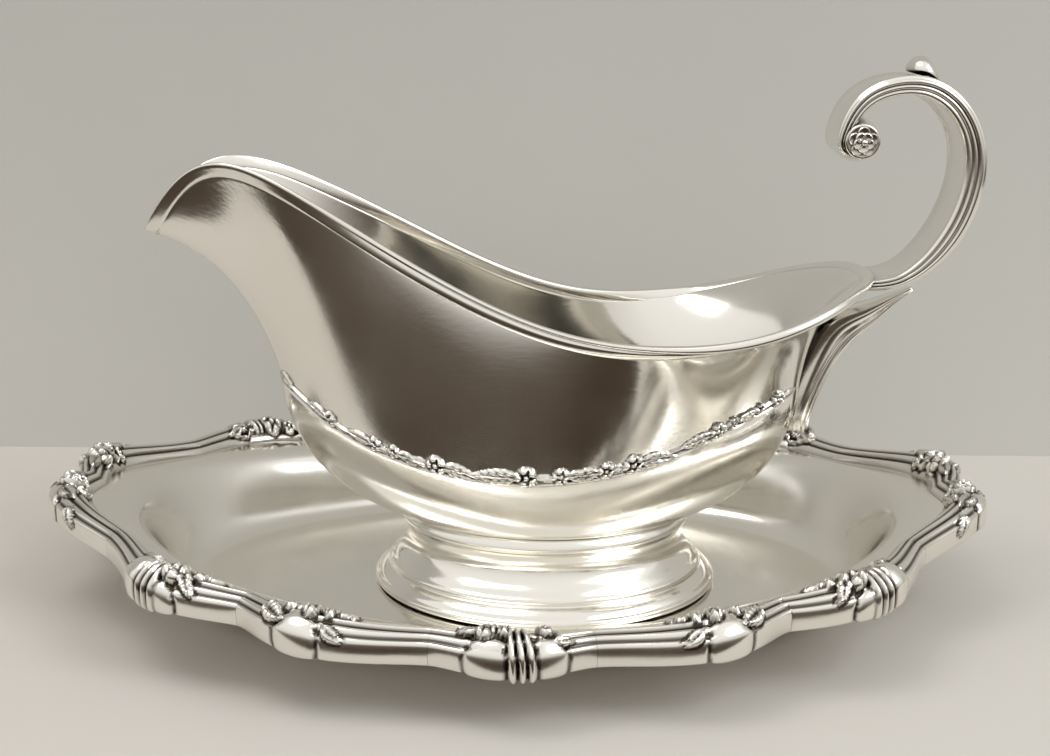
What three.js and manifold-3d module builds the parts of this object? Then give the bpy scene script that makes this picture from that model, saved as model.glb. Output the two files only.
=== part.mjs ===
// Gravy boat with underplate, in silver plate.
//
// Frame: millimetres, +Z up. The origin is on the table under the centre of the plate.
// +X runs along the set to the handle, -X to the pouring lip, and the set is alike on both sides of Y = 0.

import * as THREE from 'three';
import { mergeVertices } from 'three/addons/utils/BufferGeometryUtils.js';
import Module from 'manifold-3d';

const wasm = await Module();
wasm.setup();

// Clearance between pieces that are soldered or rest together
const SEAM = 0.3;

// Underplate
const PLATE_LENGTH = 229; // over the lobes
const PLATE_WIDTH = 170;
const PLATE_RIM_HEIGHT = 16; // top of the flange at its edge, in the middle of a long side
const PLATE_END_RISE = 10; // the edge stands this much higher at the two ends
const PAN_THICKNESS = 1.5;
const WELL_LENGTH = 158; // flat floor
const WELL_WIDTH = 98;
const COVE_WIDTH = 9; // run of the curved wall from the floor to the flange
const COVE_RISE = 6;
const COVE_TURN = THREE.MathUtils.degToRad(62); // turn of the wall from level to its steepest
const LEDGE_START = 0.86; // level ledge under the border, from this share of the plain oval of the edge

// Border castings on the plate
const BORDER_WIDTH = 7;
const BORDER_CREST = 3.4; // reeds above the flange
const BORDER_DROP = 4.2; // outer face below the flange top
const BORDER_LIP = 1.7; // metal outside the edge of the pan
const LOBE_SWELL = 2.6; // extra width of a casting at the middle of its lobe
const LOBE_RISE = 1.1; // extra height there
const ROSETTE_RADIUS = 3.6;
const ROSETTE_RISE = 2.0; // above the reeds
const ROSETTE_PETALS = 5;
const PETAL_DEPTH = 0.16; // waviness of a rosette's edge, as a share of its radius

// Bowl of the boat, measured from the middle of its foot
const FOOT_OFFSET = 7; // the boat stands this far towards its handle
const BOW_REACH = 96; // tip of the pouring lip
const STERN_REACH = 77;
const BOWL_WIDTH = 68;
const GIRDLE_BOW = 66.7;
const GIRDLE_STERN = 63.6;
const GIRDLE_WIDTH = 63;
const WALL = 1.2;
const RIM_LOW = 65.5; // lowest part of the rim, above the underside of the foot
const RIM_STERN = 77.6;
const RIM_PEAK = 102.2;
const LIP_HEIGHT = 87;
const GIRDLE_LOW = 35.1;
const GIRDLE_BOW_HEIGHT = 53.5;
const GIRDLE_STERN_HEIGHT = 52.3;
const WIRE_HEIGHT = 2.6;
const WIRE_WIDTH = 2.4;

// Foot
const FOOT_LENGTH = 87;
const FOOT_WIDTH = 75.5;
const FOOT_HEIGHT = 18.7;
const NECK_LENGTH = 70.3;
const FOOT_WALL = 1.3;

// Applied casting round the girdle
const GIRDLE_BAND = 4.6;
const GIRDLE_RELIEF = 1.9;
const GIRDLE_WAVES = 7; // swellings along each side
const GIRDLE_ROOT = 0.8; // depth of the casting's back before it is fitted to the bowl
const GIRDLE_BOW_GAP = 2.4; // half the gap between the two sides at the bow

// Handle
const STRAP_WIDTH = 18;
const STRAP_THICKNESS = 5.2;
const REED_DEPTH = 0.7;
const HANDLE_REACH = 101; // middle line of the strap at its widest
const HANDLE_TOP = 124.5; // middle line of the strap at its top
const SCROLL_RADIUS = 5.8;
const SCROLL_WIDTH = 20;
const SCROLL_ROSETTE = 3.4; // radius
const SCROLL_ROSETTE_RISE = 1.6;
const TAIL_WIDTH = 12;
const TAIL_SCROLL = 2.1; // radius
const TAIL_POINT = 13.5; // free point beyond the stern of the rim
const TAIL_INSET = 11; // lower end inside the stern of the rim
const TAIL_DROP = 36.5; // lower end below the stern of the rim
const TAIL_CLEARANCE = 0.9; // between the tail and the ends of the girdle castings
const LEAF_START = 0.68; // place of the thumb leaf's foot, as a share of the strap from the rim
const LEAF_LENGTH = 6.8;
const LEAF_WIDTH = 10;
const LEAF_RISE = 2.8;
const LEAF_THICKNESS = 0.8; // at its foot
const LEAF_LIFT = 0.6; // of its free end off the strap

// Fineness of the meshes
const BOWL_STEPS = 48; // round the bowl, an even number
const OVAL_STEPS = 34;
const LOBE_STEPS = 6;

const SILVER = 0xcfccc2;

const silver = () => new THREE.MeshStandardMaterial({ color: SILVER, roughness: 0.16, metalness: 1.0 });

// Shared builders

// Closed body from a chain of rings. Ends are closed by a fan, or joined to each other when looped.
function ringBody(rings, looped = false) {
  const count = rings[0].length;
  const positions = rings.flat().flatMap((p) => [p.x, p.y, p.z]);
  const index = [];
  const bands = looped ? rings.length : rings.length - 1;
  for (let j = 0; j < bands; j += 1) {
    const next = (j + 1) % rings.length;
    for (let i = 0; i < count; i += 1) {
      const k = (i + 1) % count;
      const [a, b, c, d] = [j * count + i, j * count + k, next * count + k, next * count + i];
      index.push(a, b, c, a, c, d);
    }
  }
  if (!looped) {
    addFan(positions, index, rings[0], 0, true);
    addFan(positions, index, rings[rings.length - 1], (rings.length - 1) * count, false);
  }
  return facingOut(positions, index);
}

function addFan(positions, index, ring, start, reversed) {
  const centre = ring.reduce((sum, p) => sum.add(p), new THREE.Vector3()).divideScalar(ring.length);
  const middle = positions.length / 3;
  positions.push(centre.x, centre.y, centre.z);
  for (let i = 0; i < ring.length; i += 1) {
    const k = (i + 1) % ring.length;
    index.push(middle, ...(reversed ? [start + k, start + i] : [start + i, start + k]));
  }
}

// Turns the triangles round if the body is inside out
function facingOut(positions, index) {
  const at = (i) => new THREE.Vector3().fromArray(positions, 3 * i);
  let volume = 0;
  for (let i = 0; i < index.length; i += 3) {
    const [a, b, c] = [at(index[i]), at(index[i + 1]), at(index[i + 2])];
    volume += a.dot(b.cross(c));
  }
  if (volume < 0) index.reverse();
  const geometry = new THREE.BufferGeometry();
  geometry.setAttribute('position', new THREE.Float32BufferAttribute(positions, 3));
  geometry.setIndex(index);
  geometry.computeVertexNormals();
  return geometry;
}

function toManifold(geometry) {
  const bare = geometry.clone();
  bare.deleteAttribute('normal');
  bare.deleteAttribute('uv');
  const merged = mergeVertices(bare, 1e-4);
  const vertProperties = new Float32Array(merged.attributes.position.array);
  const triVerts = new Uint32Array(merged.index.array);
  return new wasm.Manifold(new wasm.Mesh({ numProp: 3, vertProperties, triVerts }));
}

function fromManifold(solid) {
  const mesh = solid.getMesh();
  const geometry = new THREE.BufferGeometry();
  geometry.setAttribute('position', new THREE.Float32BufferAttribute(mesh.vertProperties, 3));
  geometry.setIndex(Array.from(mesh.triVerts));
  geometry.computeVertexNormals();
  return geometry;
}

// Cuts the tools away and keeps the main piece of what is left
function cut(geometry, ...tools) {
  const left = tools.reduce((solid, tool) => solid.subtract(toManifold(tool)), toManifold(geometry));
  const pieces = left.decompose().sort((a, b) => b.volume() - a.volume());
  return fromManifold(pieces[0]);
}

const join = (...geometries) =>
  fromManifold(geometries.map(toManifold).reduce((whole, solid) => whole.add(solid)));

const mix = THREE.MathUtils.lerp;
const point = (x, y, z) => new THREE.Vector3(x, y, z);

// Smooth curve through the points, without a bend at the ends
const through = (points) => new THREE.CatmullRomCurve3(points, false, 'centripetal');

function place(geometry, name, parent) {
  const mesh = new THREE.Mesh(geometry, silver());
  mesh.name = name;
  parent.add(mesh);
  return mesh;
}

// Plate outline: each quarter has four lobes that meet in sharp notches.
// An angle is in degrees round the plate from its end, and a share is of the plain oval there.
const NOTCHES = [
  { angle: 0, share: 0.985 },
  { angle: 29, share: 0.94 },
  { angle: 57, share: 0.95 },
  { angle: 81, share: 0.972 },
];
// Height of each lobe over its notches, and the place of its peak, as a share of the way along it
const LOBE_FORMS = [
  { bulge: 0.058, peak: 0.4 },
  { bulge: 0.075, peak: 0.62 },
  { bulge: 0.073, peak: 0.47 },
  { bulge: 0.068, peak: 0.5 },
];
const LOBE_FULLNESS = 0.72; // below 1 a lobe rises steeply from its notches

// All notches round the plate, from the end in +X, turning towards +Y
function notchRing() {
  const ring = [];
  const quarterTurns = [0, 180];
  for (const turn of quarterTurns) {
    for (const { angle, share } of NOTCHES) ring.push({ angle: turn + angle, share });
    for (const { angle, share } of NOTCHES.slice(1).reverse()) ring.push({ angle: turn + 180 - angle, share });
  }
  return ring;
}

// Form of a lobe, turned round in the second quarter of each half
function lobeForm(lobe) {
  const half = 2 * NOTCHES.length - 1;
  const step = lobe % half;
  const turned = step >= NOTCHES.length;
  const { bulge, peak } = LOBE_FORMS[turned ? half - 1 - step : step];
  return { bulge, peak: turned ? 1 - peak : peak };
}

// Height over the notches, 0 to 1, with its top at the lobe's peak
function lobeHeight(lobe, along) {
  const { peak } = lobeForm(lobe);
  return Math.max(Math.sin(Math.PI * along ** (Math.log(0.5) / Math.log(peak))), 0);
}

// Outline on a circle of radius 1, on lobe number `lobe` at 0 to 1 along it
function roundOutline(lobe, along) {
  const ring = notchRing();
  const from = ring[lobe % ring.length];
  const to = ring[(lobe + 1) % ring.length];
  const span = (to.angle - from.angle + 360) % 360;
  const angle = THREE.MathUtils.degToRad(from.angle + span * along);
  const bulge = lobeForm(lobe).bulge * lobeHeight(lobe, along) ** LOBE_FULLNESS;
  const share = mix(from.share, to.share, along) + bulge;
  return new THREE.Vector2(share * Math.cos(angle), share * Math.sin(angle));
}

const LOBES = notchRing().length;
const roundSamples = Array.from({ length: LOBES * LOBE_STEPS }, (_, i) =>
  roundOutline(Math.floor(i / LOBE_STEPS), (i % LOBE_STEPS) / LOBE_STEPS));
const lengthScale = PLATE_LENGTH / 2 / Math.max(...roundSamples.map((p) => p.x));
const widthScale = PLATE_WIDTH / 2 / Math.max(...roundSamples.map((p) => p.y));

function outlinePoint(lobe, along) {
  const p = roundOutline(lobe, along);
  return new THREE.Vector2(p.x * lengthScale, p.y * widthScale);
}

// Outward direction of the outline, turned to face straight out at the notches, as a mitre does
function outlineNormal(lobe, along) {
  const reach = 0.02;
  const before = outlinePoint(lobe, Math.max(along - reach, 0));
  const after = outlinePoint(lobe, Math.min(along + reach, 1));
  const tangent = after.sub(before).normalize();
  const mitre = (Math.abs(along - 0.5) * 2) ** 3;
  const straight = outlinePoint(lobe, along).normalize();
  return new THREE.Vector2(tangent.y, -tangent.x).lerp(straight, mitre).normalize();
}

const outlineInset = (lobe, along, inward) =>
  outlinePoint(lobe, along).addScaledVector(outlineNormal(lobe, along), -inward);

// Height of the edge of the plate over a place on its length, which grows towards both ends
const edgeLift = (x) => PLATE_END_RISE * ((2 * x) / PLATE_LENGTH) ** 2;

// Underplate pan: flat floor, curved cove, a wide rising flange and a ledge out to the lobed edge
function panRings() {
  const edge = [];
  for (let lobe = 0; lobe < LOBES; lobe += 1) {
    for (let i = 0; i < LOBE_STEPS; i += 1) edge.push(outlineInset(lobe, i / LOBE_STEPS, BORDER_LIP + SEAM));
  }
  const angles = edge.map((p) => Math.atan2(p.y / PLATE_WIDTH, p.x / PLATE_LENGTH));
  const ovalAt = (length, width, height) =>
    angles.map((angle) => point((length / 2) * Math.cos(angle), (width / 2) * Math.sin(angle), height));
  const coveTop = PAN_THICKNESS + COVE_RISE;
  const rings = [];
  const coveSteps = 3;
  for (let i = 0; i <= coveSteps; i += 1) {
    const turn = (i / coveSteps) * COVE_TURN;
    const run = (2 * COVE_WIDTH * Math.sin(turn)) / Math.sin(COVE_TURN);
    const rise = (COVE_RISE * (1 - Math.cos(turn))) / (1 - Math.cos(COVE_TURN));
    rings.push(ovalAt(WELL_LENGTH + run, WELL_WIDTH + run, PAN_THICKNESS + rise));
  }
  const flangeSteps = 2;
  for (let i = 1; i <= flangeSteps; i += 1) {
    const out = i / flangeSteps;
    const rise = Math.sin((out * Math.PI) / 2);
    const ring = ovalAt(
      mix(WELL_LENGTH + 2 * COVE_WIDTH, 2 * lengthScale * LEDGE_START, out),
      mix(WELL_WIDTH + 2 * COVE_WIDTH, 2 * widthScale * LEDGE_START, out),
      mix(coveTop, PLATE_RIM_HEIGHT, rise),
    );
    rings.push(ring.map((p) => p.setZ(p.z + rise * edgeLift(p.x))));
  }
  rings.push(edge.map((p) => point(p.x, p.y, PLATE_RIM_HEIGHT + edgeLift(p.x))));
  return rings;
}

function plate() {
  const top = panRings();
  const under = top.map((ring) => ring.map((p) => point(p.x, p.y, p.z - PAN_THICKNESS)));
  return ringBody([...top, ...under.reverse()]);
}

// Border section: outer face, two reeds and an inner bead, as run inwards and height over the flange
function borderSection(swell) {
  const width = BORDER_WIDTH + LOBE_SWELL * swell;
  const crest = BORDER_CREST + LOBE_RISE * swell;
  return [
    [0, -BORDER_DROP],
    [-0.2, crest * 0.35],
    [0.18 * width, crest],
    [0.34 * width, crest * 0.66],
    [0.5 * width, crest * 1.04],
    [0.7 * width, crest * 0.6],
    [width, SEAM],
    [BORDER_LIP, SEAM],
    [BORDER_LIP, -BORDER_DROP],
  ];
}

// Ring of the border section across one place on a lobe
function borderRing(lobe, along) {
  const swell = lobeHeight(lobe, along) ** 2;
  return borderSection(swell).map(([inward, height]) => {
    const p = outlineInset(lobe, along, inward);
    return point(p.x, p.y, PLATE_RIM_HEIGHT + edgeLift(p.x) + height);
  });
}

// Draws the end of a casting in by a seam, along the line to its next ring
const drawnIn = (end, next) =>
  end.map((p, i) => p.clone().lerp(next[i], SEAM / p.distanceTo(next[i])));

// One casting from notch to notch, with a rosette on the peak of its lobe
function borderCasting(lobe) {
  const rings = [];
  for (let i = 0; i <= LOBE_STEPS; i += 1) rings.push(borderRing(lobe, i / LOBE_STEPS));
  const last = rings.length - 1;
  const [first, final] = [drawnIn(rings[0], rings[1]), drawnIn(rings[last], rings[last - 1])];
  const body = ringBody([first, ...rings.slice(1, last), final]);
  const seat = outlineInset(lobe, lobeForm(lobe).peak, (BORDER_WIDTH + LOBE_SWELL) / 2);
  const flower = rosette(ROSETTE_RADIUS, ROSETTE_RISE + BORDER_CREST);
  flower.translate(seat.x, seat.y, PLATE_RIM_HEIGHT + edgeLift(seat.x) + 2 * SEAM);
  return join(body, flower);
}

// Domed flower with petals, standing on z = 0
function rosette(radius, rise) {
  const around = ROSETTE_PETALS * 3;
  const levels = [[1, 0], [0.94, 0.72], [0.4, 1]];
  const rings = levels.map(([share, height]) => {
    const ring = [];
    for (let i = 0; i < around; i += 1) {
      const angle = (i / around) * 2 * Math.PI;
      const petal = 1 + PETAL_DEPTH * share * Math.cos(ROSETTE_PETALS * angle);
      const reach = radius * share * petal;
      ring.push(point(reach * Math.cos(angle), reach * Math.sin(angle), rise * height));
    }
    return ring;
  });
  return ringBody(rings);
}

// Bowl guides: closed curves from the stern round by +Y to the bow and back
function guide(stations) {
  const far = stations.map(([x, y, z]) => point(x, y, z));
  const near = stations.slice(1, -1).reverse().map(([x, y, z]) => point(x, -y, z));
  return new THREE.CatmullRomCurve3([...far, ...near], true, 'centripetal');
}

const rimHalf = BOWL_WIDTH / 2;
const rimDrop = RIM_STERN - RIM_LOW;
const rimClimb = RIM_PEAK - RIM_LOW;
const rimGuide = guide([
  [STERN_REACH, 0, RIM_STERN],
  [STERN_REACH * 0.956, rimHalf * 0.4, RIM_LOW + rimDrop * 0.97],
  [STERN_REACH * 0.78, rimHalf * 0.85, RIM_LOW + rimDrop * 0.57],
  [STERN_REACH * 0.47, rimHalf, RIM_LOW + rimDrop * 0.04],
  [STERN_REACH * 0.05, rimHalf * 0.92, RIM_LOW + rimClimb * 0.045],
  [-BOW_REACH * 0.316, rimHalf * 0.77, RIM_LOW + rimClimb * 0.43],
  [-BOW_REACH * 0.633, rimHalf * 0.46, RIM_LOW + rimClimb * 0.87],
  [-BOW_REACH * 0.878, rimHalf * 0.2, RIM_LOW + rimClimb * 0.975],
  [-BOW_REACH, 0, LIP_HEIGHT],
]);

const girdleHalf = GIRDLE_WIDTH / 2;
const girdleBowRise = GIRDLE_BOW_HEIGHT - GIRDLE_LOW;
const girdleSternRise = GIRDLE_STERN_HEIGHT - GIRDLE_LOW;
const girdleGuide = guide([
  [GIRDLE_STERN, 0, GIRDLE_STERN_HEIGHT],
  [GIRDLE_STERN * 0.928, girdleHalf * 0.3, GIRDLE_LOW + girdleSternRise * 0.913],
  [GIRDLE_STERN * 0.707, girdleHalf * 0.6, GIRDLE_LOW + girdleSternRise * 0.616],
  [GIRDLE_STERN * 0.377, girdleHalf * 0.87, GIRDLE_LOW + girdleSternRise * 0.2],
  [0, girdleHalf, GIRDLE_LOW],
  [-GIRDLE_BOW * 0.36, girdleHalf * 0.92, GIRDLE_LOW + girdleBowRise * 0.08],
  [-GIRDLE_BOW * 0.69, girdleHalf * 0.65, GIRDLE_LOW + girdleBowRise * 0.386],
  [-GIRDLE_BOW * 0.907, girdleHalf * 0.3, GIRDLE_LOW + girdleBowRise * 0.78],
  [-GIRDLE_BOW, 0, GIRDLE_BOW_HEIGHT],
]);

const ovalInset = (FOOT_LENGTH - FOOT_WIDTH) / 2;
const neckLift = FOOT_HEIGHT + SEAM;

function neckPoint(turn) {
  const angle = turn * 2 * Math.PI;
  const reach = NECK_LENGTH / 2 - 1;
  return point(reach * Math.cos(angle), (reach - ovalInset) * Math.sin(angle), neckLift);
}

function bend(from, control, to, t) {
  const first = from.clone().lerp(control, t);
  return first.lerp(control.clone().lerp(to, t), t);
}

// Outer surface of the bowl: turn is 0 to 1 round it, and level runs over the floor (0 to 1),
// the lower bowl up to the girdle (1 to 2) and the flaring upper body (2 to 3)
function bowlPoint(turn, level) {
  const neck = neckPoint(turn);
  if (level <= 1) return point(neck.x * level, neck.y * level, neckLift - 1 + level ** 2);
  const girdle = girdleGuide.getPoint(turn);
  if (level <= 2) {
    const control = point(girdle.x * 0.97, girdle.y * 0.97, mix(neck.z, girdle.z, 0.12));
    return bend(neck, control, girdle, level - 1);
  }
  const rim = rimGuide.getPoint(turn);
  const control = point(mix(girdle.x, rim.x, 0.28), mix(girdle.y, rim.y, 0.28), mix(girdle.z, rim.z, 0.82));
  return bend(girdle, control, rim, level - 2);
}

// Direction out of the bowl's surface
function bowlNormal(turn, level) {
  const step = 1e-3;
  const here = Math.max(level, 0.02);
  const round = bowlPoint((turn + step) % 1, here).sub(bowlPoint((turn - step + 1) % 1, here));
  const up = bowlPoint(turn, Math.min(here + step, 3)).sub(bowlPoint(turn, here - step));
  return round.cross(up).normalize();
}

// Directions at a place on the bowl: out of its surface, and up along it, square to its level line
function bowlFrame(turn, level) {
  const step = 1e-3;
  const out = bowlNormal(turn, level);
  const round = bowlPoint((turn + step) % 1, level).sub(bowlPoint((turn - step + 1) % 1, level)).normalize();
  return { out, up: out.clone().cross(round).normalize() };
}

const turns = Array.from({ length: BOWL_STEPS }, (_, i) => i / BOWL_STEPS);
const BOWL_LEVELS = [0.5, 1, 1.22, 1.44, 1.66, 1.86, 2, 2.16, 2.34, 2.52, 2.7, 2.86, 3];

const bowlRing = (level, offset) =>
  turns.map((turn) => bowlPoint(turn, level).addScaledVector(bowlNormal(turn, level), offset));

function vessel() {
  const outside = BOWL_LEVELS.map((level) => bowlRing(level, 0));
  const inside = BOWL_LEVELS.map((level) => bowlRing(level, -WALL)).reverse();
  return ringBody([...outside, ...inside]);
}

// The bowl filled up and a seam larger, to shape what is soldered on to it
const bowlCutter = () => ringBody(BOWL_LEVELS.map((level) => bowlRing(level, SEAM)));

// Rim wire: a double reed that follows the edge of the bowl
function wireRings(grow) {
  const half = WIRE_WIDTH / 2 + grow;
  const section = [
    [-0.8, -grow],
    [-1, 0.28],
    [-0.72, 0.5],
    [-0.95, 0.78],
    [-0.35, 1],
    [0.35, 1],
    [0.95, 0.62],
    [0.8, -grow],
  ];
  return turns.map((turn) => {
    const edge = bowlPoint(turn, 3);
    const { out, up } = bowlFrame(turn, 3);
    return section.map(([side, height]) => edge.clone()
      .addScaledVector(up, SEAM + height * (WIRE_HEIGHT + grow))
      .addScaledVector(out, -WALL / 2 - side * half));
  });
}

const rimWire = () => ringBody(wireRings(0), true);
const wireCutter = () => ringBody(wireRings(SEAM), true);

// Foot: an oval pedestal of parallel mouldings, hollow underneath
function foot() {
  const base = FOOT_LENGTH / 2;
  const neck = NECK_LENGTH / 2;
  const spread = base - neck;
  const outside = [
    [base, 0],
    [base, 0.085],
    [neck + spread * 0.84, 0.15],
    [neck + spread * 0.6, 0.22],
    [neck + spread * 0.47, 0.28],
    [neck + spread * 0.47, 0.335],
    [neck + spread * 0.36, 0.4],
    [neck + spread * 0.16, 0.47],
    [neck - spread * 0.02, 0.58],
    [neck - spread * 0.06, 0.7],
    [neck - spread * 0.02, 0.82],
    [neck + spread * 0.1, 0.9],
    [neck + spread * 0.1, 0.96],
    [neck, 0.985],
  ];
  const inside = [
    [neck - FOOT_WALL, 0.985],
    [neck - FOOT_WALL - spread * 0.06, 0.68],
    [neck - FOOT_WALL, 0.52],
    [neck + spread * 0.44 - FOOT_WALL, 0.24],
    [base - FOOT_WALL, 0],
  ];
  return ringBody([...outside, ...inside].map(([reach, share]) => ovalRing(reach, share * FOOT_HEIGHT)), true);
}

function ovalRing(reach, height) {
  const ring = [];
  for (let i = 0; i < OVAL_STEPS; i += 1) {
    const angle = (i / OVAL_STEPS) * 2 * Math.PI;
    ring.push(point(reach * Math.cos(angle), (reach - ovalInset) * Math.sin(angle), height));
  }
  return ring;
}

// How far to turn from a place on the middle plane until the girdle is this far from the plane
function girdleTurnAt(width, start = 0, direction = 1) {
  let turn = 0;
  while (girdleGuide.getPoint(start + direction * turn).y < width) turn += 0.001;
  return turn;
}

// Applied casting along one side of the girdle, from the handle's tail to the bow.
// Side is +1 for the far half and -1 for the near half.
function girdleCasting(side) {
  const steps = GIRDLE_WAVES * 4;
  const sternTurn = girdleTurnAt(TAIL_WIDTH / 2 + TAIL_CLEARANCE);
  const bowTurn = 0.5 - girdleTurnAt(GIRDLE_BOW_GAP, 0.5, -1);
  const rings = [];
  for (let i = 0; i <= steps; i += 1) {
    const share = i / steps;
    const half = mix(sternTurn, bowTurn, share);
    const turn = side > 0 ? half : 1 - half;
    const wave = 0.5 - 0.5 * Math.cos(2 * Math.PI * GIRDLE_WAVES * share);
    const taper = Math.min(1, 6 * share + 0.25, 6 * (1 - share) + 0.25);
    const width = GIRDLE_BAND * (0.6 + 0.4 * wave) * taper;
    const relief = GIRDLE_RELIEF * (0.55 + 0.45 * wave) * (0.4 + 0.6 * taper);
    const middle = bowlPoint(turn, 2);
    const { out, up } = bowlFrame(turn, 2);
    const section = [[-0.62, -1], [-0.6, 0.35], [-0.3, 0.8], [0, 1], [0.28, 0.72], [0.5, 0.45], [0.52, -1]];
    rings.push(section.map(([rise, depth]) => middle.clone()
      .addScaledVector(up, rise * width)
      .addScaledVector(out, SEAM + (depth > 0 ? depth * relief : -GIRDLE_ROOT))));
  }
  return cut(ringBody(rings), bowlCutter());
}

// Middle line of the handle strap in the plane Y = 0, from the rim over the top to the scroll
const handleRise = HANDLE_TOP - RIM_STERN;
const handleRun = HANDLE_REACH - STERN_REACH;
const scrollCentre = point(STERN_REACH - handleRun * 0.15, 0, HANDLE_TOP - handleRise * 0.27);
const strapLine = through([
  [-0.06, 0],
  [0.2, 0.01],
  [0.44, 0.07],
  [0.78, 0.28],
  [0.92, 0.44],
  [1, 0.67],
  [0.94, 0.79],
  [0.71, 0.92],
  [0.41, 0.99],
  [0.16, 1],
  [-0.04, 0.955],
  [-0.22, 0.85],
].map(([run, rise]) => point(STERN_REACH + handleRun * run, 0, RIM_STERN + handleRise * rise))
  .concat([point(scrollCentre.x - SCROLL_RADIUS * 0.75, 0, scrollCentre.z)]));

// Places points given as [across, out] on a line in the plane Y = 0
function acrossLine(line, t, section) {
  const middle = line.getPointAt(t);
  const tangent = line.getTangentAt(t);
  const out = point(tangent.z, 0, -tangent.x);
  return section.map(([across, rise]) => middle.clone()
    .addScaledVector(out, rise)
    .add(point(0, across, 0)));
}

// Reeded strap section: three reeds stand on each edge
function strapSection(half, thick) {
  const groove = half - REED_DEPTH;
  const edge = [
    [half - 1.1, 0.5],
    [half, 0.36],
    [groove, 0.19],
    [half, 0],
    [groove, -0.19],
    [half, -0.36],
    [half - 1.1, -0.5],
  ];
  const right = edge.map(([across, rise]) => [across, rise * thick]);
  const left = edge.slice().reverse().map(([across, rise]) => [-across, rise * thick]);
  return [[0, thick * 0.44], ...right, [0, -thick * 0.44], ...left];
}

// Strap from the rim to its scroll, widening a little where it meets the rim
function strapBody(grow) {
  const steps = 28;
  const rings = [];
  for (let i = 0; i <= steps; i += 1) {
    const t = i / steps;
    const spread = 1 + 0.12 * Math.max(0, 1 - t / 0.12);
    const half = (STRAP_WIDTH / 2) * spread + grow;
    rings.push(acrossLine(strapLine, t, strapSection(half, STRAP_THICKNESS + 2 * grow)));
  }
  return ringBody(rings);
}

const handleStrap = () => cut(join(strapBody(0), scrollRoll()), bowlCutter(), wireCutter());

// Rolled end of the strap: a barrel across it
function scrollRoll() {
  const half = SCROLL_WIDTH / 2;
  const barrel = new THREE.LatheGeometry([
    [0, -half],
    [SCROLL_RADIUS * 0.72, -half],
    [SCROLL_RADIUS * 0.94, -half * 0.86],
    [SCROLL_RADIUS, -half * 0.45],
    [SCROLL_RADIUS * 1.04, 0],
    [SCROLL_RADIUS, half * 0.45],
    [SCROLL_RADIUS * 0.94, half * 0.86],
    [SCROLL_RADIUS * 0.72, half],
    [0, half],
  ].map(([r, y]) => new THREE.Vector2(r, y)), 20);
  barrel.translate(scrollCentre.x, 0, scrollCentre.z);
  return barrel;
}

// Rosette on one end of the roll
function scrollRosette(side) {
  const flower = rosette(SCROLL_ROSETTE, SCROLL_ROSETTE_RISE);
  flower.rotateX(side > 0 ? -Math.PI / 2 : Math.PI / 2);
  flower.translate(scrollCentre.x, side * (SCROLL_WIDTH / 2 + SEAM), scrollCentre.z);
  return flower;
}

// Lower end of the handle: a leaf that leaves the stern, with a free point under the strap and a roll below.
// Each station gives its outer ridge, its inner side within the bowl, and its width.
function handleTail() {
  const drop = (share) => RIM_STERN - TAIL_DROP * share;
  const reach = (share) => STERN_REACH + mix(-TAIL_INSET, TAIL_POINT, share);
  const stations = [
    { outer: [1, 0.115], inner: [0.97, 0.09], width: 0.12 },
    { outer: [0.785, 0.19], inner: [0.72, 0.14], width: 0.55 },
    { outer: [0.58, 0.3], inner: [0.42, 0.18], width: 0.86 },
    { outer: [0.385, 0.43], inner: [0.11, 0.26], width: 1 },
    { outer: [0.2, 0.62], inner: [-0.08, 0.48], width: 0.96 },
    { outer: [0.065, 0.83], inner: [-0.23, 0.76], width: 0.8 },
    { outer: [0.005, 1.0], inner: [-0.31, 0.94], width: 0.62 },
    { outer: [0, 1.07], inner: [-0.27, 1.05], width: 0.4 },
  ];
  const outer = through(stations.map(({ outer: [run, fall] }) => point(reach(run), 0, drop(fall))));
  const inner = through(stations.map(({ inner: [run, fall] }) => point(reach(run), 0, drop(fall))));
  const width = through(stations.map((station, i) => point(i, 0, (station.width * TAIL_WIDTH) / 2)));
  const section = [[1, 0], [0.82, 0.34], [0.9, 0.6], [0.62, 0.86], [0.4, 0.9], [0, 1]];
  const outline = [...section, ...section.slice(0, -1).reverse().map(([y, s]) => [-y, s])];
  const rings = [];
  const steps = 16;
  for (let i = 0; i <= steps; i += 1) {
    const t = i / steps;
    const [from, to, half] = [inner.getPoint(t), outer.getPoint(t), width.getPoint(t).z];
    rings.push(outline.map(([y, share]) => from.clone().lerp(to, share).add(point(0, y * half, 0))));
  }
  const whole = join(ringBody(rings), tailScroll(outer.getPoint(1)));
  return cut(whole, bowlCutter(), wireCutter(), strapBody(SEAM));
}

// Thumb leaf curling up from the top of the strap
function thumbLeaf() {
  const length = strapLine.getLength();
  const steps = 8;
  const rings = [];
  for (let i = 0; i <= steps; i += 1) {
    const share = i / steps;
    const half = (LEAF_WIDTH / 2) * Math.sin(Math.PI * (0.12 + 0.76 * share)) ** 0.7;
    const floor = STRAP_THICKNESS / 2 + 2 * SEAM + LEAF_LIFT * share ** 3;
    const top = floor + LEAF_THICKNESS + LEAF_RISE * Math.sin(Math.PI * 0.62 * share) ** 1.4;
    const t = LEAF_START + (LEAF_LENGTH / length) * share;
    rings.push(acrossLine(strapLine, t, [
      [-half, mix(floor, top, 0.1)],
      [-half * 0.55, mix(floor, top, 0.82)],
      [0, top],
      [half * 0.55, mix(floor, top, 0.82)],
      [half, mix(floor, top, 0.1)],
      [0, floor],
    ]));
  }
  return ringBody(rings);
}

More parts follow.
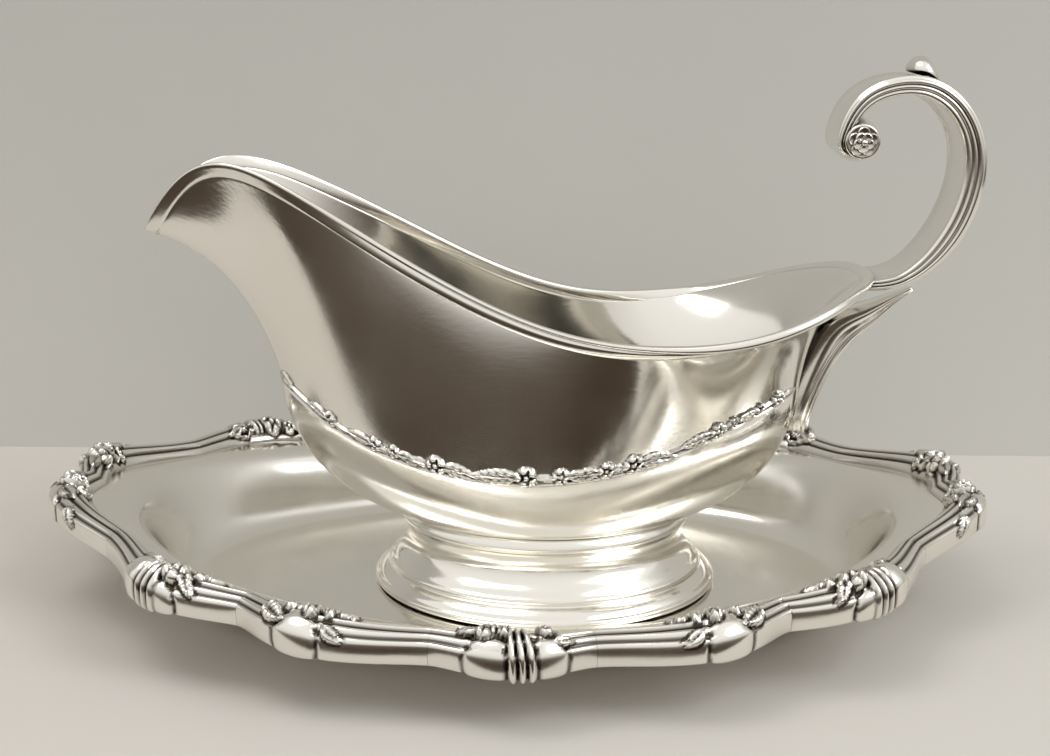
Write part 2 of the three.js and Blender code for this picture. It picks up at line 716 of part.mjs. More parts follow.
// Small roll that ends the tail
function tailScroll(foot) {
  const half = TAIL_WIDTH * 0.27;
  const roll = new THREE.LatheGeometry([
    [0, -half],
    [TAIL_SCROLL * 0.7, -half],
    [TAIL_SCROLL, -half * 0.5],
    [TAIL_SCROLL, half * 0.5],
    [TAIL_SCROLL * 0.7, half],
    [0, half],
  ].map(([r, y]) => new THREE.Vector2(r, y)), 12);
  return roll.translate(foot.x + TAIL_SCROLL * 0.3, 0, foot.z - TAIL_SCROLL * 0.4);
}

// Assembly

const set = new THREE.Group();

const underplate = new THREE.Group();
place(plate(), 'plate_pan', underplate);
for (let lobe = 0; lobe < LOBES; lobe += 1) {
  place(borderCasting(lobe), `border_casting_${String(lobe + 1).padStart(2, '0')}`, underplate);
}
set.add(underplate);

const boat = new THREE.Group();
boat.position.set(FOOT_OFFSET, 0, PAN_THICKNESS + SEAM);
place(foot(), 'foot', boat);
place(vessel(), 'bowl', boat);
place(rimWire(), 'rim_wire', boat);
place(girdleCasting(-1), 'girdle_casting_near', boat);
place(girdleCasting(1), 'girdle_casting_far', boat);
place(handleStrap(), 'handle_strap', boat);
place(scrollRosette(-1), 'scroll_rosette_near', boat);
place(scrollRosette(1), 'scroll_rosette_far', boat);
place(thumbLeaf(), 'thumb_leaf', boat);
place(handleTail(), 'handle_tail', boat);
set.add(boat);

export default set;
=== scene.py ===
"""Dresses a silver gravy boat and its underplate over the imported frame.

Sizes below are in millimetres unless a name says otherwise. Every mesh is written in metres, in the
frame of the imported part: +X runs to the handle, -X to the pouring lip, +Z is up, and the origin is on
the table under the middle of the plate.
"""

import logging
import math
from collections.abc import Callable, Sequence
from dataclasses import dataclass, field
from enum import Enum

import bmesh
import bpy
from mathutils import Matrix, Vector


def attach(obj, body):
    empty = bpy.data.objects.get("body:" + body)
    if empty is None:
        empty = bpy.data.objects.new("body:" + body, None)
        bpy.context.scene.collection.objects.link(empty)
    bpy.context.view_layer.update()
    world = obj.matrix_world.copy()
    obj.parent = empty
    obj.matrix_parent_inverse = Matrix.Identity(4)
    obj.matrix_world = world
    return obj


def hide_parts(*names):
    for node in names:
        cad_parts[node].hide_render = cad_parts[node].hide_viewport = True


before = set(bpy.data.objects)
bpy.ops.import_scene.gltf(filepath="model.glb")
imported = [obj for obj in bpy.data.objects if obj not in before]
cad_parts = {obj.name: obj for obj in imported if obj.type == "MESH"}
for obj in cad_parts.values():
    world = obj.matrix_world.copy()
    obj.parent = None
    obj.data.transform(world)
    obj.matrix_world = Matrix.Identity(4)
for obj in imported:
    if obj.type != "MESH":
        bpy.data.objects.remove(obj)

LOG = logging.getLogger("gravy_boat")
MM = 0.001
SEAM = 0.3
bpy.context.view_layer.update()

HOLLOW = "hollow"

Ring = list[Vector]
Section = Sequence[tuple[float, float]]
Tone = tuple[float, float, float]
Socket = bpy.types.NodeSocket
Inputs = dict[str | int, object]


# Curves


class Spline:
    """Smooth cubic line through stations, open or closed."""

    rounds = 24
    samples = 240

    def __init__(self, stations: Sequence[Sequence[float]], closed: bool = False) -> None:
        """Fits the control points so that the line passes through every station.

        Args:
            stations: Points that the line passes through.
            closed: True if the line runs back to its first station.
        """
        self.closed = closed
        aims = [Vector(station) for station in stations]
        self.controls = [aim.copy() for aim in aims]
        for _ in range(self.rounds):
            reached = [self._blend(i, 0.0) for i in range(len(aims))]
            for control, aim, point in zip(self.controls, aims, reached):
                control += aim - point
        self.lengths = running([self.at(i / self.samples) for i in range(self.samples + 1)])

    def _control(self, i: int) -> Vector:
        """Gives control point i, run on past the ends of an open line."""
        count = len(self.controls)
        if self.closed:
            return self.controls[i % count]
        if i < 0:
            return self.controls[0] * 2 - self.controls[1]
        if i >= count:
            return self.controls[-1] * 2 - self.controls[-2]
        return self.controls[i]

    def _blend(self, i: int, f: float) -> Vector:
        """Gives the point a share f of the way from control i to the next."""
        weights = ((1 - f) ** 3, 3 * f**3 - 6 * f * f + 4, -3 * f**3 + 3 * f * f + 3 * f + 1, f**3)
        total = Vector((0, 0, 0))
        for k, weight in enumerate(weights):
            total += self._control(i - 1 + k) * (weight / 6)
        return total

    def at(self, share: float) -> Vector:
        """Gives the point at a share of the line, counted in stations."""
        spans = len(self.controls) if self.closed else len(self.controls) - 1
        reach = (share % 1.0 if self.closed else min(max(share, 0.0), 1.0)) * spans
        i = min(int(reach), spans - 1)
        return self._blend(i, reach - i)

    def even(self, share: float) -> Vector:
        """Gives the point at a share of the line, counted in length."""
        return self.at(share_at(self.lengths, share * self.lengths[-1]))

    def even_tangent(self, share: float) -> Vector:
        """Gives the direction of the line at a share of its length."""
        step = 0.004
        return (self.even(min(share + step, 1)) - self.even(max(share - step, 0))).normalized()


def lerp(a: float, b: float, share: float) -> float:
    """Gives the number a share of the way from a to b."""
    return a + (b - a) * share


def bend(start: Vector, control: Vector, end: Vector, share: float) -> Vector:
    """Gives a point on the bow from start to end that leans towards control."""
    return start.lerp(control, share).lerp(control.lerp(end, share), share)


def running(points: Sequence[Vector]) -> list[float]:
    """Gives the length of a line of points up to each of them."""
    lengths = [0.0]
    for before, after in zip(points, points[1:]):
        lengths.append(lengths[-1] + (after - before).length)
    return lengths


def share_at(lengths: Sequence[float], aim: float) -> float:
    """Gives the share of the points' count at which their running length reaches an aim."""
    k = max(next((i for i, length in enumerate(lengths) if length >= aim), len(lengths) - 1), 1)
    return (k - 1 + (aim - lengths[k - 1]) / (lengths[k] - lengths[k - 1])) / (len(lengths) - 1)


def hump(share: float, middle: float, width: float) -> float:
    """Gives a smooth swelling, 1 at its middle and 0 beyond its width."""
    away = abs(share - middle) / width
    return 0.0 if away >= 1 else 0.5 + 0.5 * math.cos(math.pi * away)


def circle(count: int) -> list[tuple[float, float]]:
    """Gives the cosine and sine of evenly spread angles."""
    angles = [2 * math.pi * i / count for i in range(count)]
    return [(math.cos(angle), math.sin(angle)) for angle in angles]


def mirrored(side: Section, middle: Section = ()) -> list[tuple[float, float]]:
    """Gives half an outline, its middle points and its other half."""
    return [*side, *middle, *((-x, z) for x, z in reversed(side))]


# Modelling helpers


def deselect_all() -> None:
    """Leaves edit mode and deselects every object."""
    if bpy.context.mode != "OBJECT":
        bpy.ops.object.mode_set(mode="OBJECT")
    bpy.ops.object.select_all(action="DESELECT")


def make_active(obj: bpy.types.Object) -> None:
    """Selects one object alone and makes it active."""
    deselect_all()
    obj.select_set(True)
    bpy.context.view_layer.objects.active = obj


def apply_modifier(obj: bpy.types.Object, kind: str, **settings: object) -> None:
    """Adds a modifier with the settings and applies it.

    Args:
        obj: The mesh to change.
        kind: Blender's name for the modifier's type.
        settings: The modifier's properties by name.
    """
    make_active(obj)
    modifier = obj.modifiers.new(kind.title(), kind)
    for name, value in settings.items():
        setattr(modifier, name, value)
    bpy.ops.object.modifier_apply(modifier=modifier.name)


def refine(obj: bpy.types.Object, levels: int) -> None:
    """Applies a subdivision surface with equal view and render levels."""
    apply_modifier(obj, "SUBSURF", levels=levels, render_levels=levels)


def join(name: str, parts: Sequence[bpy.types.Object]) -> bpy.types.Object:
    """Joins meshes into one object with a new name."""
    deselect_all()
    for part in parts:
        part.select_set(True)
    bpy.context.view_layer.objects.active = parts[0]
    if len(parts) > 1:
        bpy.ops.object.join()
    whole = bpy.context.view_layer.objects.active
    whole.name = name
    whole.data.name = name
    return whole


def copied(pattern: bpy.types.Object, place: Callable[[Vector], Vector]) -> bpy.types.Object:
    """Copies a pattern with a mesh of its own and moves each point.

    Args:
        pattern: The modelled ornament, in its own millimetres about the origin.
        place: Gives the point on the part, in millimetres, for a point of the pattern.

    Returns:
        The placed copy, in metres.
    """
    made = pattern.copy()
    made.data = pattern.data.copy()
    bpy.context.scene.collection.objects.link(made)
    for vert in made.data.vertices:
        vert.co = place(vert.co) * MM
    return made


class Surface:
    """A mesh drawn ring by ring with the extrude operator."""

    def __init__(self, name: str, ring: Ring, scale: float = MM) -> None:
        """Starts from a circle and sets its points on the first ring.

        Args:
            name: Name of the object.
            ring: Points of the first ring, in order round it.
            scale: Metres for one unit of the points.
        """
        deselect_all()
        self.scale = scale
        bpy.ops.mesh.primitive_circle_add(vertices=len(ring), radius=0.01)
        self.obj = bpy.context.active_object
        self.obj.name = name
        self.obj.data.name = name
        bpy.ops.object.mode_set(mode="EDIT")
        bpy.ops.mesh.select_mode(type="EDGE")
        bm = self._mesh()
        for vert, point in zip(bm.verts, ring):
            vert.co = point * scale
        self.first = list(range(len(ring)))
        self.front = list(self.first)
        self.laid = [self.front]

    def _mesh(self) -> bmesh.types.BMesh:
        """Gives the mesh that is being edited, with its tables in order."""
        bm = bmesh.from_edit_mesh(self.obj.data)
        bm.verts.index_update()
        bm.verts.ensure_lookup_table()
        return bm

    def extrude(self, ring: Ring) -> None:
        """Extrudes the front edges and sets the new points on the ring."""
        bpy.ops.mesh.extrude_edges_move()
        bm = self._mesh()
        front = []
        for index, point in zip(self.front, ring):
            old = bm.verts[index]
            new = next(e.other_vert(old) for e in old.link_edges if e.other_vert(old).select)
            new.co = point * self.scale
            front.append(new.index)
        self.front = front
        self.laid.append(front)

    def _select(self, *rings: list[int]) -> None:
        """Selects the edges of the rings alone."""
        bpy.ops.mesh.select_all(action="DESELECT")
        bm = self._mesh()
        for ring in rings:
            chosen = set(ring)
            for index in ring:
                for edge in bm.verts[index].link_edges:
                    if edge.other_vert(bm.verts[index]).index in chosen:
                        edge.select = True
        bmesh.update_edit_mesh(self.obj.data)

    def close(self, ring: list[int]) -> None:
        """Closes a ring with a face."""
        self._select(ring)
        bpy.ops.mesh.edge_face_add()
        self._select(self.front)

    def bridge(self) -> None:
        """Joins the front ring to the first one."""
        self._select(self.first, self.front)
        bpy.ops.mesh.bridge_edge_loops()

    def done(self) -> bpy.types.Object:
        """Points every face outwards and leaves edit mode."""
        bpy.ops.mesh.select_all(action="SELECT")
        bpy.ops.mesh.normals_make_consistent(inside=False)
        bpy.ops.mesh.select_all(action="DESELECT")
        bpy.ops.object.mode_set(mode="OBJECT")
        return self.obj


def swept(
    name: str, rings: Sequence[Ring], looped: bool = False, scale: float = MM, hollows: Sequence[Sequence[float]] = ()
) -> bpy.types.Object:
    """Draws a closed body along rings.

    Args:
        name: Name of the object.
        rings: Rings with equally many points each.
        looped: True if the last ring runs on into the first.
        scale: Metres for one unit of the points.
        hollows: How deep in a hollow the first points of each ring lie, kept for the finish.

    Returns:
        The finished mesh object.
    """
    surface = Surface(name, rings[0], scale)
    for ring in rings[1:]:
        surface.extrude(ring)
    if looped:
        surface.bridge()
    else:
        surface.close(surface.front)
        surface.close(surface.first)
    obj = surface.done()
    if hollows:
        kept = obj.data.attributes.new(HOLLOW, "FLOAT", "POINT")
        for indices, values in zip(surface.laid, hollows):
            for index, value in zip(indices, values):
                kept.data[index].value = value
    return obj


# Finishes


class Graph:
    """The nodes of a material or a world, each made by one call."""

    def __init__(self, owner: bpy.types.ID) -> None:
        """Turns on the nodes of a material or a world."""
        owner.use_nodes = True
        self.tree = owner.node_tree

    def feed(self, node: bpy.types.Node, inputs: Inputs) -> None:
        """Sets each input, by its name or number, to a value or to another node's output."""
        for name, value in inputs.items():
            if isinstance(value, bpy.types.NodeSocket):
                self.tree.links.new(value, node.inputs[name])
            else:
                node.inputs[name].default_value = value

    def add(self, kind: str, result: str, inputs: Inputs, **settings: object) -> Socket:
        """Adds a node.

        Args:
            kind: Its type, without Blender's prefix.
            result: Name of the output that is wanted.
            inputs: What goes into it.
            settings: Its properties by name.

        Returns:
            The output.
        """
        node = self.tree.nodes.new(f"ShaderNode{kind}")
        for name, value in settings.items():
            setattr(node, name, value)
        self.feed(node, inputs)
        return node.outputs[result]

    def place(self) -> Socket:
        """Gives the place on the object."""
        return self.add("TexCoord", "Object", {})

    def noise(self, place: Socket, scale: float, detail: float) -> Socket:
        """Gives a noise over a place."""
        return self.add("TexNoise", "Fac", {"Vector": place, "Scale": scale, "Detail": detail})

    def spread(self, value: Socket, low: float, high: float, start: float, end: float) -> Socket:
        """Maps the range from low to high on to the one from start to end."""
        ends = {"From Min": low, "From Max": high, "To Min": start, "To Max": end}
        return self.add("MapRange", "Result", {"Value": value, **ends})

    def mix(self, share: Socket, first: Tone | Socket, second: Tone | Socket) -> Socket:
        """Blends from one colour to another."""
        tones = [(*tone, 1.0) if isinstance(tone, tuple) else tone for tone in (first, second)]
        return self.add("Mix", "Result", {"Factor": share, "A": tones[0], "B": tones[1]}, data_type="RGBA")


class Slot(Enum):
    """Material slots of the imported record."""

    POLISHED = "polished_silver"
    CAST = "cast_silver"


@dataclass(frozen=True)
class SilverFinish:
    """Polished silver plate with smudges, hairline wear and darker recesses."""

    name: str
    slot: Slot
    tint: Tone = (0.9, 0.888, 0.86)
    tarnish: Tone = (0.2, 0.17, 0.135)
    aged: Tone = (0.95, 0.92, 0.86)
    roughness: float = 0.07
    smudge: float = 0.1
    smudge_scale: float = 46.0
    hairlines: Tone = (30.0, 2400.0, 900.0)
    hairline_turn: Tone = (0.5, 0.3, 0.9)
    waviness: float = 0.05
    wave_depth: float = 0.004
    scratch: float = 0.04
    scratch_depth: float = 0.0002
    recess: float = 0.0
    recess_reach: float = 0.0026

    def material(self) -> bpy.types.Material:
        """Builds the material, or gives it if it exists.

        Returns:
            The node material of this finish.
        """
        found = bpy.data.materials.get(self.name)
        if found:
            return found
        made = bpy.data.materials.new(self.name)
        graph = Graph(made)
        place = graph.place()
        lines = {"Vector": place, "Rotation": self.hairline_turn, "Scale": self.hairlines}
        hairlines = graph.noise(graph.add("Mapping", "Vector", lines), 1.0, 2.0)
        smudges = graph.noise(place, self.smudge_scale, 5.0)
        soften = graph.spread(smudges, 0.35, 0.75, self.roughness, self.roughness + self.smudge)
        wear = graph.add("Math", "Value", {0: hairlines, 1: 0.05, 2: soften}, operation="MULTIPLY_ADD")
        waves = {"Strength": self.waviness, "Distance": self.wave_depth, "Height": graph.noise(place, 28.0, 1.5)}
        scratches = {"Strength": self.scratch, "Distance": self.scratch_depth, "Height": hairlines}
        normal = graph.add("Bump", "Normal", {**scratches, "Normal": graph.add("Bump", "Normal", waves)})
        aged = tuple(tint * part for tint, part in zip(self.tint, self.aged))
        colour = graph.mix(graph.noise(place, 18.0, 4.0), self.tint, aged)
        if self.recess > 0:
            open_share = graph.add("AmbientOcclusion", "AO", {"Distance": self.recess_reach}, samples=6)
            shut = graph.spread(open_share, 0.48, 0.94, self.recess, 0.0)
            kept = graph.add("Attribute", "Fac", {}, attribute_name=HOLLOW)
            deeper = graph.add("Math", "Value", {0: shut, 1: kept}, operation="MAXIMUM")
            colour = graph.mix(deeper, colour, self.tarnish)
        shader = made.node_tree.nodes["Principled BSDF"]
        graph.feed(shader, {"Metallic": 1.0, "Roughness": wear, "Normal": normal, "Base Color": colour})
        return made


MIRROR = SilverFinish("mirror_silver", Slot.POLISHED, waviness=0.01)
WORN = SilverFinish("worn_silver", Slot.POLISHED, roughness=0.1, smudge=0.14, waviness=0.06)
REEDED = SilverFinish("reeded_silver", Slot.POLISHED, tarnish=(0.09, 0.075, 0.06), roughness=0.08, recess=0.85)
CAST = SilverFinish(
    "chased_silver", Slot.CAST, tarnish=(0.055, 0.045, 0.035), roughness=0.11, smudge=0.08, recess=0.95
)


def dress(
    obj: bpy.types.Object, finish: SilverFinish, body: str, nodes: Sequence[str] = (), sharp: float = 38.0
) -> bpy.types.Object:
    """Gives a piece its finish and its place in the frame.

    Args:
        obj: The finished mesh.
        finish: Its silver.
        body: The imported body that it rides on.
        nodes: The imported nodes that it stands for.
        sharp: Angle in degrees past which an edge is not smoothed.

    Returns:
        The same object.
    """
    make_active(obj)
    obj.data.materials.clear()
    obj.data.materials.append(finish.material())
    bpy.ops.object.shade_smooth_by_angle(angle=math.radians(sharp))
    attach(obj, body)
    if nodes:
        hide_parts(*nodes)
    LOG.info("%s: %d faces, stands for %s", obj.name, len(obj.data.polygons), ", ".join(nodes) or "itself")
    return obj


# Ornament patterns


@dataclass
class Ornaments:
    """Small cast forms, modelled once about the origin in millimetres and copied."""

    petals: int = 5
    made: dict[str, bpy.types.Object] = field(default_factory=dict)

    def _keep(self, name: str, obj: bpy.types.Object) -> bpy.types.Object:
        """Puts a pattern aside under its name."""
        obj.name = name
        self.made[name] = obj
        return obj

    def petal(self, reach: float, width: float, lift: float) -> bpy.types.Object:
        """Models one cupped petal from a disc.

        Args:
            reach: Distance from the flower's middle to the petal's tip.
            width: Width of the petal.
            lift: Height of the petal's rim over its foot.

        Returns:
            A closed petal that points along +X.
        """
        deselect_all()
        bpy.ops.mesh.primitive_circle_add(vertices=10, radius=1.0, fill_type="NGON")
        obj = bpy.context.active_object
        bpy.ops.object.mode_set(mode="EDIT")
        bpy.ops.mesh.inset(thickness=0.35)
        bpy.ops.transform.translate(value=(0, 0, -0.55))
        bpy.ops.mesh.select_all(action="SELECT")
        bpy.ops.transform.resize(value=(reach * 0.42, width * 0.5, lift), center_override=(0, 0, 0))
        bpy.ops.transform.translate(value=(reach * 0.6, 0, lift))
        bpy.ops.object.mode_set(mode="OBJECT")
        apply_modifier(obj, "SOLIDIFY", thickness=lift * 1.3, offset=-1.0)
        refine(obj, 1)
        return obj

    def flower(self) -> bpy.types.Object:
        """Models an open flower of two rows of petals about a heart, of radius 1.

        Returns:
            The flower, standing on z = 0.
        """
        parts = []
        for row, (reach, width, lift, height) in enumerate(((1.0, 0.78, 0.2, 0.0), (0.62, 0.6, 0.2, 0.24))):
            pattern = self.petal(reach, width, lift)
            for i in range(self.petals):
                angle = (i + 0.5 * row) * 2 * math.pi / self.petals
                turned = Matrix.Translation((0, 0, height)) @ Matrix.Rotation(angle, 4, "Z")
                petal = pattern.copy()
                petal.data = pattern.data.copy()
                petal.data.transform(turned)
                bpy.context.scene.collection.objects.link(petal)
                parts.append(petal)
            bpy.data.objects.remove(pattern)
        deselect_all()
        bpy.ops.mesh.primitive_uv_sphere_add(segments=10, ring_count=6, radius=0.24, location=(0, 0, 0.52))
        heart = bpy.context.active_object
        heart.data.transform(heart.matrix_world)
        heart.matrix_world = Matrix.Identity(4)
        parts.append(heart)
        return self._keep("flower", join("flower", parts))

    def bead(self) -> bpy.types.Object:
        """Models a bead of radius 1 with its middle on z = 0.35."""
        deselect_all()
        bpy.ops.mesh.primitive_uv_sphere_add(segments=10, ring_count=7, radius=1.0)
        obj = bpy.context.active_object
        bpy.ops.object.mode_set(mode="EDIT")
        bpy.ops.transform.resize(value=(1, 1, 0.85))
        bpy.ops.transform.translate(value=(0, 0, 0.35))
        bpy.ops.object.mode_set(mode="OBJECT")
        return self._keep("bead", obj)

    def leaf(self) -> bpy.types.Object:
        """Models a pointed leaf along +X, 3 long and 1.1 wide, with a sunk midrib."""
        rings = []
        for i in range(9):
            share = i / 8
            half = 0.06 + 0.52 * math.sin(math.pi * share**0.75) ** 0.8
            high = 0.1 + 0.42 * math.sin(math.pi * share**0.8)
            lean = 0.12 * math.sin(2 * math.pi * share)
            shape = ((-1, -0.1), (-0.8, 0.5), (-0.42, 1), (0, 0.55), (0.42, 1), (0.8, 0.5), (1, -0.1), (0, -0.2))
            rings.append([Vector((3 * share, lean + y * half, z * high)) for y, z in shape])
        obj = swept("leaf", rings, scale=1.0)
        refine(obj, 1)
        return self._keep("leaf", obj)

    def build(self) -> None:
        """Models every pattern."""
        self.flower()
        self.bead()
        self.leaf()

    def clear(self) -> None:
        """Removes the patterns once their copies stand."""
        for pattern in self.made.values():
            bpy.data.objects.remove(pattern)
        self.made.clear()


def on_axes(
    origin: Vector, along: Vector, up: Vector, size: float, turn: float = 0.0
) -> Callable[[Vector], Vector]:
    """Gives the placing of a pattern on a surface.

    Args:
        origin: Where the pattern's foot goes, in millimetres.
        along: Direction of the pattern's +X.
        up: Direction of its +Z.
        size: Millimetres for one unit of the pattern.
        turn: Turn about its own +Z, in radians.

    Returns:
        A function from a pattern's point to the part's.
    """
    up = up.normalized()
    ahead = (along - up * along.dot(up)).normalized()
    side = up.cross(ahead)
    cosine, sine = math.cos(turn), math.sin(turn)

    def place(point: Vector) -> Vector:
        """Places one point."""
        x, y = point.x * cosine - point.y * sine, point.x * sine + point.y * cosine
        return origin + (ahead * x + side * y + up * point.z) * size

    return place


# Cast relief


@dataclass(frozen=True)
class Form:
    """One raised form on a cast band, placed in millimetres along the band and across it."""

    along: float
    across: float
    size: float
    rise: float
    turn: float = 0.0
    hand: int = 1

    def local(self, s: float, t: float) -> tuple[float, float]:
        """Gives a place of the band in the form's own turned frame."""
        s, t = s - self.along, t - self.across
        cosine, sine = math.cos(self.turn), math.sin(self.turn)
        return s * cosine + t * sine, (t * cosine - s * sine) * self.hand

    def height(self, s: float, t: float) -> float:
        """Gives the height that the form adds at a place of the band."""
        raise NotImplementedError


@dataclass(frozen=True)
class Rosette(Form):
    """Open flower: a heart in a ring of petals."""

    petals: int = 5

    def height(self, s: float, t: float) -> float:
        """Gives the flower's height."""
        x, y = self.local(s, t)
        share = math.hypot(x, y) / self.size
        if share >= 1:
            return 0.0
        if share < 0.27:
            return self.rise * (0.6 + 0.4 * math.sqrt(1 - (share / 0.27) ** 2))
        petal = abs(math.cos(self.petals / 2 * math.atan2(y, x))) ** 0.7
        ring = math.sin(math.pi * ((share - 0.27) / 0.73) ** 0.85) ** 0.55
        return self.rise * (0.32 + 0.68 * petal) * ring


@dataclass(frozen=True)
class Scroll(Form):
    """Volute whose tail runs off along the form's +X."""

    tail: float = 2.4

    def height(self, s: float, t: float) -> float:
        """Gives the scroll's height."""
        x, y = (value / self.size for value in self.local(s, t))
        reach = math.hypot(x, y)
        if reach > 1.1 and not (0 <= x <= self.tail and -1.2 < y < -0.3):
            return 0.0
        if reach < 0.3:
            return self.rise * math.sqrt(1 - (reach / 0.3) ** 2)
        phase = ((-math.pi / 2 - math.atan2(y, x)) % (2 * math.pi)) / (2 * math.pi)
        away = min(abs(reach - (0.84 - 0.5 * (phase + k))) for k in (0, 1))
        best = math.cos(math.pi / 2 * away / 0.21) ** 0.6 if away < 0.21 else 0.0
        if 0 <= x <= self.tail:
            width = 0.21 * (1 - 0.6 * x / self.tail)
            away = abs(y + 0.84 - 0.1 * x)
            if away < width:
                best = max(best, math.cos(math.pi / 2 * away / width) ** 0.6 * (1 - 0.5 * x / self.tail))
        return self.rise * 0.85 * best


@dataclass(frozen=True)
class Leaf(Form):
    """Pointed leaf along the form's +X with a sunk midrib and veins."""

    broad: float = 0.24
    bow: float = 0.1

    def height(self, s: float, t: float) -> float:
        """Gives the leaf's height."""
        x, y = self.local(s, t)
        share = x / self.size
        if not 0 < share < 1:
            return 0.0
        half = self.broad * self.size * math.sin(math.pi * share**0.75) ** 0.7
        y -= self.bow * self.size * share * share
        if abs(y) >= half:
            return 0.0
        side = abs(y) / half
        rib = 1 - 0.55 * math.exp(-((y / (0.2 * half + 0.05)) ** 2))
        vein = 1 - 0.16 * math.cos(2 * math.pi * (5.5 * share - 0.9 * side))
        return self.rise * (1 - side**4) ** 0.5 * rib * vein * (1 - 0.35 * share)


@dataclass(frozen=True)
class Bulb(Form):
    """Smooth swelling with a sunk line round it."""

    tall: float = 6.0

    def height(self, s: float, t: float) -> float:
        """Gives the swelling's height, below zero in the line round it."""
        x, y = self.local(s, t)
        share = (x / self.size) ** 2 + (y / self.tall) ** 2
        if share < 1:
            return self.rise * (1 - share) ** 0.5
        return -0.4 * self.rise * math.sin(math.pi * (share - 1) / 0.5) if share < 1.5 else 0.0


@dataclass(frozen=True)
class Flutes(Form):
    """Row of lobes that run over the edge and down it; size is the spacing."""

    count: int = 3
    top: float = 11.0
    lean: float = 2.0

    def height(self, s: float, t: float) -> float:
        """Gives the height of the row, below zero between two lobes."""
        if t > self.top:
            return 0.0
        share = max(t, 0) / self.top
        x = (s - self.along - self.lean * share * share) / self.size
        if not 0 < x < self.count:
            return 0.0
        fade = min(1.0, (self.top - t) / 1.6)
        return self.rise * (1.35 * abs(math.sin(math.pi * x)) ** 0.6 - 0.35) * fade


@dataclass(frozen=True)
class Beads(Form):
    """Row of beads along the band; size is their radius."""

    count: int = 4
    fall: float = 0.0

    def height(self, s: float, t: float) -> float:
        """Gives the height of the beads."""
        pitch = 2.15 * self.size
        place = (s - self.along) / pitch
        near = min(max(round(place), 0), self.count - 1)
        size = self.size * (1 - self.fall * near)
        away = math.hypot((place - near) * pitch, t - self.across)
        return self.rise * math.sqrt(1 - (away / size) ** 2) if away < size else 0.0


def relief(forms: Sequence[Form], s: float, t: float) -> float:
    """Gives the height of all forms together: the highest one, or the deepest line where none stands."""
    heights = [form.height(s, t) for form in forms]
    high = max(heights, default=0.0)
    return high if high > 0.02 else min(heights, default=0.0)


def hollows_of(heights: Sequence[Sequence[float]], reach: int = 2, gain: float = 1.7) -> list[list[float]]:
    """Gives how deep each place of a height grid lies below the places round it.

    Args:
        heights: Heights in millimetres, ring by ring.
        reach: Steps to the places that are compared.
        gain: Depth of hollow for a millimetre of difference.

    Returns:
        Numbers from 0 to 1 in the order of the grid.
    """
    last, end = len(heights) - 1, len(heights[0]) - 1
    grid = []
    for i, row in enumerate(heights):
        before, after = heights[max(i - reach, 0)], heights[min(i + reach, last)]
        values = []
        for k, height in enumerate(row):
            around = before[k] + after[k] + row[max(k - reach, 0)] + row[min(k + reach, end)]
            values.append(min(max((around / 4 - height) * gain, 0.0), 1.0))
        grid.append(values)
    return grid


# Underplate


REEDS = ((6.1, 0.5), (8.3, 0.8), (10.2, 0.6), (12.3, 0.65))
REED_GROOVE = 0.5


class Cluster(Enum):
    """What stands on one lobe of the border, in order from the plate's end to the middle of its side."""

    END = "scroll over a bulb"
    CORNER = "flower, flutes and a bulb"
    SHELL = "two flowers beside a bulb"
    MIDDLE = "two flowers and flutes"


